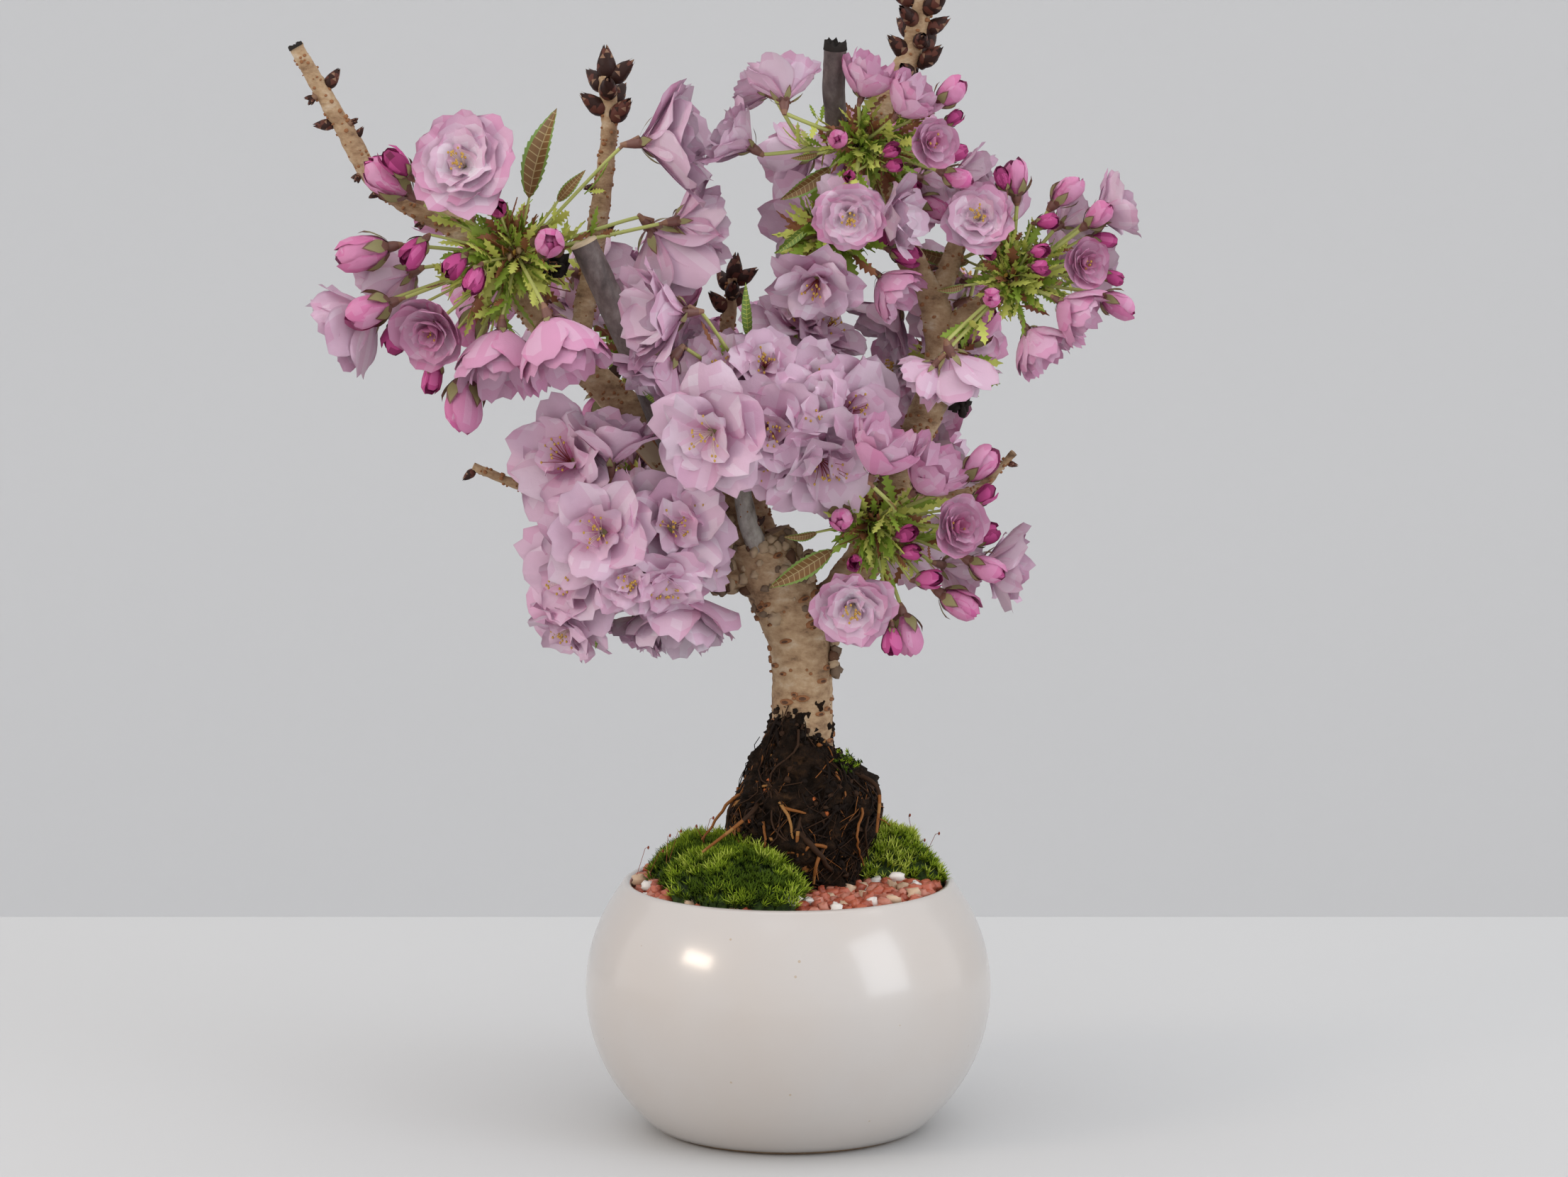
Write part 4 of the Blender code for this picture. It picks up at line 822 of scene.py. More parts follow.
def add_lump(gathered, centre, half, finish, seed=0.0, rough=0.25, rings=5, sides=8):
    """A closed rounded lump, its surface uneven."""
    centre = Vector(centre)
    spots = []
    for r in range(1, rings):
        lift = pi * r / rings
        for angle in round_angles(sides):
            way = Vector((sin(lift) * cos(angle), sin(lift) * sin(angle), cos(lift)))
            swell = 1 + rough * noise.noise(way * 1.7 + Vector((seed, -seed, 2 * seed)))
            spots.append(centre + Vector([h * w * swell for h, w in zip(half, way)]))
    top, low = centre + Vector((0, 0, half[2])), centre - Vector((0, 0, half[2]))
    body = grid_faces(rings - 1, sides, closed=True)[:, ::-1]
    gathered.add(spots, body, finish)
    gathered.add([*spots[:sides], top], fan(sides), finish)
    gathered.add([*spots[-sides:], low], fan(sides, flip=True), finish)


# ---- petals

HAIR = 0.00011  # the radius of filaments and moss stalks
ANTHER = (0.0004, 0.0004, 0.0005)
PETAL_ROWS = 7
PETAL_COLUMNS = 9
# A whorl of petals: how many, their length and width in shares of the bloom's width, the angle
# from the bloom's axis at foot and tip (degrees), how far their bend gathers at both ends, how
# far they wrap round the axis, how they ruffle, how deep the tip is notched, and the tint at
# foot and tip.
Whorl = namedtuple("Whorl", "count length width low high bow wrap ruffle notch foot tip")
WHORLS = {kind: [Whorl(*row) for row in rows] for kind, rows in {
    "double": [
        (6, 0.56, 0.56, 52, 88, 0.3, 0.08, 0.04, 0.07, 1.4, 3.8),
        (6, 0.5, 0.5, 42, 76, 0.3, 0.2, 0.046, 0.07, 0.8, 3.3),
        (5, 0.41, 0.38, 30, 68, 0.3, 0.35, 0.052, 0.06, 0.2, 2.6),
        (4, 0.28, 0.28, 16, 56, 0.3, 0.45, 0.056, 0.05, 0.0, 1.8),
    ],
    "wide": [
        (5, 0.64, 0.54, 60, 92, 0.3, 0.05, 0.052, 0.07, 5.6, 1.3),
        (5, 0.56, 0.47, 42, 72, 0.3, 0.2, 0.058, 0.07, 6.0, 1.1),
        (3, 0.4, 0.34, 24, 50, 0.3, 0.4, 0.06, 0.06, 6.2, 1.3),
    ],
    "open": [
        (6, 0.76, 0.52, 46, 56, 0.4, 0.2, 0.04, 0.07, 4.0, 1.8),
        (6, 0.72, 0.48, 36, 46, 0.4, 0.3, 0.044, 0.07, 3.6, 1.5),
        (5, 0.6, 0.38, 22, 36, 0.3, 0.4, 0.05, 0.07, 2.8, 0.9),
    ],
    "droop": [
        (6, 0.68, 0.5, 80, 30, 0.3, 0.4, 0.036, 0.05, 4.6, 2.0),
        (6, 0.66, 0.42, 66, 12, 0.3, 0.45, 0.04, 0.05, 3.0, 0.6),
        (5, 0.62, 0.34, 48, -4, 0.3, 0.5, 0.044, 0.05, 2.0, 0.0),
    ],
    "rose": [
        (5, 0.7, 0.74, 88, 24, 0.3, 0.6, 0.024, 0.03, 4.8, 3.6),
        (5, 0.62, 0.62, 80, 10, 0.4, 0.75, 0.026, 0.03, 4.6, 3.2),
        (4, 0.52, 0.48, 56, 4, 0.4, 0.85, 0.032, 0.03, 5.6, 3.6),
        (3, 0.44, 0.34, 30, 0, 0.3, 0.95, 0.036, 0.03, 6.4, 4.4),
    ],
    "bell": [
        (6, 0.9, 0.7, 84, -4, 0.5, 0.9, 0.012, 0.05, 6.0, 3.9),
        (6, 0.98, 0.6, 76, -2, 0.5, 0.9, 0.014, 0.06, 5.6, 3.4),
        (5, 0.94, 0.46, 60, -4, 0.5, 0.85, 0.02, 0.06, 5.2, 3.0),
    ],
    "round_bud": [
        (5, 1.36, 0.8, 88, -74, 0.5, 1.0, 0.008, 0.0, 7.4, 5.6),
        (4, 1.32, 0.76, 86, -80, 0.5, 1.0, 0.01, 0.0, 7.8, 6.2),
        (3, 1.1, 0.6, 70, -74, 0.5, 1.0, 0.01, 0.0, 8.2, 7.2),
    ],
    "plump_bud": [
        (4, 1.56, 0.98, 84, -70, 0.75, 1.0, 0.006, 0.0, 7.8, 5.0),
        (4, 1.52, 0.94, 82, -76, 0.75, 1.0, 0.006, 0.0, 8.0, 5.8),
        (3, 1.4, 0.72, 66, -68, 0.75, 1.0, 0.008, 0.0, 8.6, 7.4),
    ],
    "bud": [
        (4, 1.9, 0.96, 84, -66, 0.85, 1.0, 0.006, 0.0, 9.8, 8.4),
        (3, 1.84, 0.9, 80, -72, 0.85, 1.0, 0.006, 0.0, 10.0, 8.8),
    ],
}.items()}
STAMENS = {"double": 20, "open": 14, "wide": 18, "droop": 8, "bell": 4, "rose": 5}
WIDTH_ALONG = ((0.0, 0.16), (0.12, 0.34), (0.3, 0.66), (0.5, 0.9), (0.68, 1.0), (0.84, 0.98),
               (1.0, 0.88))

CROWDED = ("blossom_centre", "blossom_lower_left", "blossom_middle")  # with green leaves


def shapes_for(mass, bloom):
    """The whorls that a bloom opens with: crowded masses open wide, and backs show a cone."""
    if bloom.kind == "double" and mass.front and bloom.facing.y > 0.2:
        return "open"
    if bloom.kind == "double" and mass.name in CROWDED:
        return "wide"
    return "droop" if bloom.kind == "bell" and mass.name == "blossom_lower_left" else bloom.kind


def bloom_axes(facing, spin):
    """The bloom's own axes in the tree's: two across and its facing, as rows."""
    facing = Vector(facing).normalized()
    side, other = across(facing)
    return np.array([outward(side, other, spin), outward(other, -side, spin), facing])


def petal_shape(whorl, width, rng, rows=PETAL_ROWS, columns=PETAL_COLUMNS):
    """One petal that stands at the bloom's axis, as a grid of (across, outward, up) points."""
    length = whorl.length * width * rng.uniform(0.88, 1.05)
    broad = whorl.width * width * rng.uniform(0.9, 1.1)
    sway = 4 + 150 * whorl.ruffle
    low = radians(whorl.low + rng.uniform(-sway, sway))
    high = radians(whorl.high + rng.uniform(-sway, sway))
    v = np.linspace(0, 1, rows)[:, None]
    u = np.sin(np.linspace(-1, 1, columns) * pi / 2)[None, :]
    ragged = np.array([draws(rng, -0.022, 0.022, columns)])
    reach = 1 - 0.3 * np.abs(u) ** 2.8 - whorl.notch * np.exp(-((u / 0.18) ** 2))
    reach = reach + ragged * (whorl.notch > 0)
    along = v * (1 + (reach - 1) * v)
    half = 0.5 * broad * np.interp(v, *zip(*WIDTH_ALONG))
    fine = np.linspace(0, 1.1, 45)
    angles = low + (high - low) * (fine + whorl.bow * np.sin(tau * fine) / tau)
    step = length * (fine[1] - fine[0])
    rises = [np.concatenate([[0], np.cumsum(share(angles[:-1])) * step])
             for share in (np.sin, np.cos)]
    out, up = [np.interp(along, fine, rise) for rise in rises]
    angle = np.interp(along, fine, angles)
    bend = whorl.wrap / np.maximum(out + 0.02 * width, 0.1 * width)
    sweep = np.clip(bend * (half * u), -1.5, 1.5)
    sideways = np.sin(sweep) / bend
    inward = (1 - np.cos(sweep)) / bend
    phase, second = rng.uniform(0, 6.28), rng.uniform(0, 6.28)
    wavy = np.sin(2.6 * u + phase) + 0.5 * np.sin(6.5 * u + second) * v
    inward = inward + whorl.ruffle * width * v ** 2 * wavy
    return np.stack([sideways, out - np.cos(angle) * inward, up + np.sin(angle) * inward], axis=2)


def petal_tints(whorl, tone, rng, rows=PETAL_ROWS, columns=PETAL_COLUMNS):
    """The tint of each face of a petal: from foot to tip, streaked along, deeper at the rim."""
    v = ((np.arange(rows - 1) + 0.5) / (rows - 1))[:, None]
    u = np.abs((np.arange(columns - 1) + 0.5) / (columns - 1) * 2 - 1)[None, :]
    streaks = np.array([draws(rng, -0.6, 0.6, columns - 1)])
    fade = 1.3 if whorl.tip > whorl.foot else 0.7
    tint = whorl.foot + (whorl.tip - whorl.foot) * v ** fade + streaks + tone
    tint = tint + rng.uniform(-0.6, 0.6) + 2.2 * np.maximum(v, u) ** 7
    return np.clip(np.rint(tint), 0, len(PETAL_TINTS) - 1).astype(int).ravel()


def add_petals(gathered, kind, width, base, facing, tone, rng):
    """All petals of one bloom."""
    axes = bloom_axes(facing, rng.uniform(0, 6.28))
    small = kind == "bud"
    rows, columns = (6, 6) if small else (PETAL_ROWS, PETAL_COLUMNS)
    faces = grid_faces(rows, columns)
    for number, whorl in enumerate(WHORLS[kind]):
        start = rng.uniform(0, 6.28) if number == 0 else start + 0.5 * 6.28 / whorl.count
        for k in range(whorl.count):
            shape = petal_shape(whorl, width, rng, rows, columns).reshape(-1, 3)
            turn = start + tau * k / whorl.count + rng.uniform(-0.14, 0.14)
            shape[:, 2] += (rng.uniform(-0.06, 0.06) + 0.06) * shape[:, 0] + 0.006 * width * number
            gathered.add(turned(shape, turn) @ axes + np.array(base), faces,
                         petal_tints(whorl, tone, rng, rows, columns))


def add_stamens(gathered, kind, width, base, facing, rng, rust=False):
    """A tuft of filaments with their anthers; finishes 0 filament, 1 gold, 2 rust."""
    axes = bloom_axes(facing, rng.uniform(0, 6.28))
    facing = facing.normalized()
    foot = base + facing * width * 0.05
    close = kind == "double"
    for _ in range(STAMENS.get(kind, 0)):
        lean = radians(rng.uniform(3, 24 if close else 38))
        angle = rng.uniform(0, tau)
        out = np.array([sin(lean) * cos(angle), sin(lean) * sin(angle), cos(lean)]) @ axes
        length = width * rng.uniform(0.2, 0.32)
        tip = foot + Vector(out) * length
        middle = foot.lerp(tip, 0.55) + facing * length * 0.06
        add_tube(gathered, [foot, middle, tip], [HAIR] * 3, 3, 2 if rust else 0)
        add_lump(gathered, tip, ANTHER, 1, rough=0, rings=3, sides=4)


# ---- stalks, calyxes, leaves

STALK_SIDES = 6
STALK_GREEN, STALK_RED, CALYX, SEPAL = range(4)  # finishes of the stalks
SEPAL_SPREADS = {"double": 80, "open": 70, "bell": 84, "rose": 88}


def add_stalk(gathered, bloom, rng):
    """The bloom's pedicel, reddening towards the calyx that holds the bloom."""
    facing = Vector(bloom.facing).normalized()
    shut = bloom.kind.endswith("bud")
    calyx = bloom.width * (0.34 if shut else 0.2)
    foot = bloom.base - facing * calyx * 0.8
    route = [*bloom.route[:-1], foot, bloom.base]
    points = spline(route, 0.003)
    thin = 0.0005 if bloom.kind == "bud" else 0.00066
    radii = [thin * (1.25 - 0.3 * min(1, k / 3)) for k in range(len(points))]
    reds = [STALK_RED if k > len(points) * 0.78 else STALK_GREEN for k in range(len(points) - 1)]
    add_tube(gathered, points, radii, STALK_SIDES, reds)
    # The calyx widens from the pedicel into a small cup, and five pointed sepals hug the petals.
    broad = min(0.0019, bloom.width * (0.2 if shut else 0.075))
    urn = [(-0.15, 0.36), (0.15, 0.62), (0.45, 0.84), (0.75, 0.92), (1.0, 1.0), (1.12, 0.9)]
    spots = [foot + facing * calyx * height for height, _ in urn]
    add_tube(gathered, spots, [max(thin, broad * share) for _, share in urn], 8,
             [STALK_RED, CALYX, CALYX, CALYX, SEPAL])
    axes = bloom_axes(facing, rng.uniform(0, 6.28))
    length = bloom.width * (0.8 if shut else 0.24)
    low, high = (78, -8) if shut else (SEPAL_SPREADS.get(bloom.kind, 62), 30)
    whorl = Whorl(5, length, length * (0.42 if shut else 0.34), low, high, 0.9 if shut else 0.2,
                  1.0, 0.0, -0.35, 0, 0)
    for k in range(5):
        shape = petal_shape(whorl, 1.0, rng, 6, 5).reshape(-1, 3)
        shape[:, 1] *= 1.06
        shape[:, 1] += broad * 0.35
        shape[:, 2] -= bloom.width * 0.03
        spots = turned(shape, tau * k / 5) @ axes + np.array(bloom.base)
        gathered.add(spots, grid_faces(6, 5), [CALYX] * 8 + [SEPAL] * 8 + [CALYX] * 4)


LEAF_VEINS = 12
LEAF_FOLD = 0.8
LEAF_CURL = 0.14


def add_leaf(gathered, start, end, share, rng, finishes):
    """A toothed leaf from start to end: folded on its midrib, with pale slanting veins and a
    margin of another colour."""
    length = (end - start).length
    ahead = (end - start).normalized()
    side = ahead.cross(Vector((0.3 + rng.uniform(-0.3, 0.3), 1, 0.25))).normalized()
    up = side.cross(ahead).normalized()
    if up.y > 0:
        up = -up
    columns = (-1.0, -0.8, -0.42, -0.05, 0.05, 0.42, 0.8, 1.0)
    rows = [0.0]
    for k in range(LEAF_VEINS):
        rows += [(k + 0.58) / (LEAF_VEINS + 0.4), (k + 0.72) / (LEAF_VEINS + 0.4)]
    rows.append(1.0)
    points, finish = [], []
    for r, v in enumerate(rows):
        half = 0.5 * share * length * sin(pi * v ** 0.8) ** 0.75 * (1 - 0.35 * v)
        for u in columns:
            tooth = 1.12 if abs(u) == 1 and r % 2 else 0.98
            slant = 0.1 * abs(u) * sin(pi * v)
            spot = start + ahead * length * (v + slant * (1 - v)) + side * half * u * tooth
            bow = LEAF_CURL * length * sin(pi * v) + LEAF_FOLD * half * abs(u)
            points.append(spot + up * bow)
    for r in range(len(rows) - 1):
        vein = r % 2 == 1
        row = [finishes[2], finishes[1 if vein else 0], finishes[1 if vein else 0], finishes[1]]
        finish += row + row[2::-1]
    gathered.add(points, grid_faces(len(rows), len(columns)), finish)


# Half the bract's width along it, as shares of its length, with the teeth of its fringe.
BRACT_OUTLINE = ((0.0, 0.025), (0.22, 0.045), (0.3, 0.13), (0.36, 0.055), (0.48, 0.15),
                 (0.54, 0.06), (0.66, 0.14), (0.72, 0.05), (0.84, 0.1), (0.88, 0.04), (1.0, 0.006))


def add_bract(gathered, foot, way, length, finish, rng, broad=1.0):
    """A small fringed bract that stands off an umbel's heart."""
    way = Vector(way).normalized()
    side = outward(*across(way), rng.uniform(0, 6.28))
    lift = way.cross(side)
    bend = rng.uniform(-0.25, 0.35)
    points = []
    for v, half in BRACT_OUTLINE:
        centre = Vector(foot) + way * length * v + lift * length * bend * v * v
        points += [centre - side * length * half * broad, centre + lift * length * 0.03,
                   centre + side * length * half * broad]
    gathered.add(points, grid_faces(len(BRACT_OUTLINE), 3), finish)


def add_scales(gathered, spot, way, length, rng):
    """A winter bud: rows of pointed scales that overlap up its length."""
    way = Vector(way).normalized()
    axes = bloom_axes(way, rng.uniform(0, 6.28))
    broad = 0.24 * length

    def radius(t):
        return broad * np.sin(pi * np.clip(t, 0, 1) ** 0.62) ** 0.85 + 0.02 * length

    for row, (low, high) in enumerate(((0.0, 0.46), (0.1, 0.62), (0.26, 0.78), (0.44, 0.92),
                                       (0.6, 1.04))):
        for k in range(4):
            t = np.linspace(low, high, 5)[:, None]
            share = (t - low) / (high - low)
            u = np.linspace(-1, 1, 5)[None, :]
            turn = pi / 2 * k + row * 0.8 + u * 0.95 * (1 - share ** 2.2)
            lift = radius(t) + length * (0.012 + 0.028 * share)
            spots = np.stack([lift * np.cos(turn), lift * np.sin(turn), t * length + 0 * u], axis=2)
            tip = 2 if rng.random() < 0.35 else 0
            body = 1 if rng.random() < 0.45 else 0
            gathered.add(spots.reshape(-1, 3) @ axes + np.array(spot), grid_faces(5, 5),
                         [body] * 12 + [tip] * 4)
    core = [spot + way * length * share for share in (-0.08, 0.2, 0.45, 0.9)]
    add_tube(gathered, core, [broad * share for share in (0.7, 0.9, 0.85, 0.15)], 8, 0)


# ---- growing the crown

MASS_TONES = {"blossom_centre": 0.2, "blossom_lower_left": 0.4}
RUST_SHARE = 0.3  # of the wide blooms have dark red stamens
WIDEST = 0.037  # no bloom opens wider than this
FRINGE = 100  # bracts round a front heart
STALK_BRACTS = 9  # along each stalk of a front umbel


def grow_crown():
    """Every bloom and leaf that the solids carry, and the balls that keep others off them."""
    obstacles = Obstacles()
    for mass in MASSES:
        foot = nearest_on(mass.bough, mass.heart)
        obstacles.add_all(route_balls([mass.heart, foot], STEM_RADIUS), mass.name)
        obstacles.add(mass.heart, HEART_RADIUS, mass.name)
    rng = random.Random(GROWTH_SEED)
    front = {mass.name: front_blooms(mass, obstacles) for mass in MASSES}
    leaves = {mass.name: place_leaves(mass, obstacles) for mass in MASSES}
    shown = list(itertools.chain(*front.values()))
    grown = {}
    for mass in MASSES:
        hidden = hidden_blooms(mass, obstacles, shown, rng)
        grown[mass.name] = front[mass.name] + hidden
    return grown, leaves, obstacles


def build_crown(settings):
    """Petals for each mass, then stamens, stalks, leaves and hearts for the whole crown."""
    grown, leaves, obstacles = grow_crown()
    rng = random.Random(GROWTH_SEED + 1)
    stamens, stalks, foliage, hearts = Gathered(), Gathered(), Gathered(), Gathered()
    for mass in MASSES:
        blooms_here = grown[mass.name] + front_blooms(mass, obstacles, smallest=True)
        petals = Gathered()
        tone = MASS_TONES.get(mass.name, 0.0) + settings.tone
        for bloom in blooms_here:
            kind = shapes_for(mass, bloom)
            rust = kind == "wide" and rng.random() < RUST_SHARE
            spread = min(bloom.width, WIDEST)
            add_petals(petals, kind, spread, bloom.base, bloom.facing, tone, rng)
            add_stamens(stamens, kind, bloom.width, bloom.base, bloom.facing, rng, rust)
            add_stalk(stalks, bloom, rng)
        petals.piece(mass.name.replace("blossom", "petals"), PETAL_NAMES, "blossom", [mass.name])
        fresh = mass.name in CROWDED
        for start, end in leaves[mass.name]:
            share = 0.2 if fresh else 0.3
            add_leaf(foliage, start, end, share, rng, (2, 3, 2) if fresh else (0, 1, 2))
            add_tube(stalks, [mass.heart, start.lerp(end, 0.05)], [0.0006, 0.0004], 5, STALK_GREEN)
        add_heart(hearts, mass, [b.route for b in blooms_here], rng)
    stamens.piece("stamens", ("filament", "anther gold", "anther rust"), "blossom")
    stalks.piece("flower_stalks", ("pedicel green", "pedicel red", "calyx", "sepal"), "blossom")
    foliage.piece("young_leaves", ("leaf bronze", "leaf vein", "leaf green", "bract yellow"),
                  "blossom")
    hearts.piece("umbel_hearts", ("bract green", "bract yellow", "bract bronze", "bud scale dark",
                                  "anther gold", "heart scale", "root brown"), "bark")


def add_heart(hearts, mass, stalks, rng):
    """The mass's stem with its knot of scales, fringed green bracts and bronze young leaves."""
    heart = mass.heart
    size = 0.4 + 0.6 * mass.scale
    foot = nearest_on(mass.bough, heart)
    middle = foot.lerp(heart, 0.5) + Vector((0, 0, -0.0006))
    add_tube(hearts, [foot, middle, heart], [STEM_RADIUS * 1.3, STEM_RADIUS, STEM_RADIUS], 8, 6)
    away = (heart - foot).normalized()
    if mass.front:
        away = (away + Vector((0, -0.8, 0))).normalized()
    for k in range(40):
        spot = heart + Vector([rng.gauss(0, 1) * 0.0026 * size for _ in range(3)])
        half = [rng.uniform(0.0006, 0.0015) * size for _ in range(3)]
        add_lump(hearts, spot, half, rng.choice((2, 3, 5, 5, 6)), seed=k * 7.0, rough=0.9, rings=4,
                 sides=6)
    # Bracts at the heart, and along the first part of each stalk.
    fringe = FRINGE if mass.front else FRINGE // 2
    for k in range(fringe):
        way = any_way(rng)
        way = (way - away * min(0, way.dot(away)) * 1.6 + Vector((0, 0, -0.1))).normalized()
        length = rng.uniform(0.0055, 0.0155) * size
        finish = rng.choice((0, 0, 0, 1, 1, 1, 2))
        spot = heart + way * rng.uniform(0.0015, 0.0045) * size
        add_bract(hearts, spot, way, length, finish, rng, rng.uniform(0.7, 1.5))
    for route in stalks:
        for _ in range(STALK_BRACTS if mass.front else STALK_BRACTS // 2):
            share = rng.uniform(0.06, 0.6)
            spot = route[0].lerp(route[1], share * (len(route) - 1))
            along = (route[1] - route[0]).normalized()
            add_bract(hearts, spot, along + shaken(rng, 0.9), rng.uniform(0.006, 0.014) * size,
                      rng.choice((0, 0, 1, 1, 2)), rng, rng.uniform(0.8, 1.5))
    for k in range(16 if mass.front else 4):
        angle = radians(10 + 160 * rng.random())
        way = Vector((cos(angle), rng.uniform(-0.7, 0.1), sin(angle))).normalized()
        add_bract(hearts, heart + way * 0.003, way, rng.uniform(0.007, 0.012) * size, 2, rng, 1.5)
    for k in range(60 if mass.front else 10):
        way = any_way(rng)
        way = (way + away * 0.9).normalized()
        add_bract(hearts, heart + way * rng.uniform(0.0015, 0.005), way,
                  rng.uniform(0.0022, 0.005) * size, rng.choice((2, 3, 4, 5, 5, 5)), rng, 2.2)


# ---- limbs with their bark

BARK_SPACING = 0.0013
BARK_SIDES = {"trunk": 56, "bough_left": 36, "bough_right": 36}

FORK = Vector((-0.0065, 0.0, 0.188))  # where the trunk divides, rough with burrs
FORK_REACH = 0.026
DARK_LIMBS = ("bough_left_cut", "bough_top_cut", "bough_centre")
SMOOTH_LIMBS = (*DARK_LIMBS, "bough_back")  # no burrs grow on these, close to the fork
STUB_SHARE = 0.8  # of its solid's thickness, that the weathered stub over the fork keeps
# Short leafless spurs: how far along the limb, from its foot, and the side of it.
SPURS = {"bough_left": [(0.62, 1), (0.7, -1), (0.8, -1), (0.87, 1), (0.93, -1)],
         "bough_right": [(0.78, 1), (0.82, -1), (0.55, 1)],
         "bough_upright": [(0.45, 1), (0.6, -1)], "bough_lower_left": [(0.5, 1)]}
# How a bough ends: the finish of the broken face (0 pale wood, 1 black) and the splinters' length.
BROKEN_ENDS = {"bough_left": (1, 0.0012), "bough_left_cut": (0, 0.0008),
               "bough_top_cut": (1, 0.003), "bough_centre": (1, 0.0012)}
# Black, rough wood about the foot of a cut: its place, how far it spreads, how many lumps.
CHARRED = [(-0.0735, -0.012, 0.2775, 0.0036, 34), (0.0158, -0.0105, 0.3215, 0.0024, 14),
           (0.0545, 0.001, 0.2318, 0.0022, 10)]
# Corky pores, large or small: half their width, their height as shares of it, how far they rise,
# and how high their middle lies as a share of that.
LENTICELS = {True: ((0.0009, 0.0026), (0.35, 0.6), 0.00085, 0.35),
             False: ((0.00025, 0.0008), (0.7, 1.1), 0.0005, 1.1)}
SCAR = (0.16, 0.3)  # the stretch of the left bough that is bare, as shares of its length
# Heaps of burrs: the middle, how far they spread along each axis, how many.
BURR_HEAPS = [((0.0148, -0.002, 0.153), (0.0008, 0.003, 0.007), 24),
              ((-0.006, -0.001, 0.187), (0.005, 0.006, 0.0025), 40),
              ((-0.0185, -0.003, 0.1885), (0.0018, 0.003, 0.0035), 16),
              ((0.004, -0.002, 0.1815), (0.0045, 0.006, 0.0042), 34)]
WHORL_BUDS = 13  # in the close whorl under the right bough's tip
BUD_TURN = radians(137.5)  # from each bud of a group to the next


def bark_relief(limb):
    """How far the bark stands out at a spot: lumps, rings across, and fine cracks."""
    calm = 0.55 if limb.name in DARK_LIMBS else 1.0 if limb is TRUNK else 1.5

    def relief(spot, _):
        rough = 1.0
        if limb.name not in SMOOTH_LIMBS:
            rough += 3.2 * max(0.0, 1 - (spot - FORK).length / FORK_REACH)
        lumps = 0.00042 * noise.noise(spot * 130)
        across = 0.0002 * noise.noise(Vector((spot.x * 160, spot.y * 160, spot.z * 900)))
        fine = 0.00014 * noise.noise(spot * 1500)
        burrs = 0.0003 * (rough - 1) * noise.noise(spot * 380)
        return (lumps + across + fine * rough) * calm + burrs

    return relief


def fine_line(limb):
    """The limb's line with closely set points, and its radius at each."""
    points, radii = line_of(limb)
    spots, widths = [], []
    for a, b, ra, rb in zip(points, points[1:], radii, radii[1:]):
        steps = max(1, round((b - a).length / BARK_SPACING))
        for s in range(steps):
            spots.append(a.lerp(b, s / steps))
            widths.append(ra + (rb - ra) * s / steps)
    return smoothed([*spots, points[-1]]), [*widths, radii[-1]]


def heading(points, k):
    """The line's direction at one of its inner points."""
    return (points[k + 1] - points[k - 1]).normalized()


def smoothed(points, passes=6):
    """The points with their corners rounded off."""
    line = np.array([tuple(p) for p in points])
    for _ in range(passes):
        line[1:-1] = 0.5 * line[1:-1] + 0.25 * (line[:-2] + line[2:])
    return [Vector(p) for p in line]


def build_limbs():
    """A bark skin for the trunk and for each bough, with lenticels, buds, scars and cut ends."""
    rng = random.Random(GROWTH_SEED + 2)
    trim, buds, ends = Gathered(), Gathered(), Gathered()
    for limb in LIMBS:
        dark = limb.name in DARK_LIMBS
        points, radii = fine_line(limb)
        skin = Gathered()
        sides = BARK_SIDES.get(limb.name, 20)
        add_tube(skin, points, radii, sides, 0, bark_relief(limb))
        look = "bark grey" if dark else "bark pale"
        if limb.name == "bough_centre":
            look = "bark weathered"
            radii = [radius * STUB_SHARE for radius in radii]
        skin.piece(f"bark_{limb.name}", [look], "dark_bark" if dark else "bark", [limb.name])
        add_lenticels(trim, limb, points, radii, rng)
        add_bud_groups(buds, limb, rng)
        if limb.name in SPURS:
            add_spurs(buds, limb, points, radii, rng)
        if limb.name in BROKEN_ENDS:
            add_broken_end(ends, points, radii, *BROKEN_ENDS[limb.name], random.Random(limb.name))
        if limb.name == "bough_left":
            add_scar(ends, points, radii)
    for x, y, z, spread, count in CHARRED:
        for k in range(count):
            spot = Vector((x, y, z)) + shaken(rng, spread)
            half = draws(rng, 0.0008, 0.0021)
            add_lump(ends, spot, half, 1, seed=k * 3.7, rough=0.9, rings=5, sides=7)
    add_burrs(trim, rng)
    trim.piece("lenticels", ("lenticel", "lenticel dark", "burr pale", "burr grey"), "bark")
    buds.piece("winter_buds", ("bud scale dark", "bud scale red", "bud scale tan"), "bark")
    ends.piece("cut_wood", ("cut wood", "burnt wood", "scar rim"), "dark_bark")


def add_spurs(buds, limb, points, radii, rng):
    """Knobs of old bud scales that sit on the limb."""
    for share, hand in SPURS[limb.name]:
        k = int(share * (len(points) - 1))
        ahead = heading(points, k)
        out = hand * Vector((ahead.z, 0, -ahead.x)).normalized() + Vector((0, -0.35, 0))
        out.normalize()
        foot = points[k] + out * radii[k] * 0.6
        tip = foot + out * 0.0022
        add_tube(buds, [foot, foot.lerp(tip, 0.5), tip], [0.0012, 0.0011, 0.001], 8, 2,
                 lambda spot, _: 0.00025 * noise.noise(spot * 1500))
        for _ in range(4):
            way = (out + shaken(rng, 0.8)).normalized()
            add_scales(buds, tip - out * 0.0006, way, rng.uniform(0.002, 0.0032), rng)


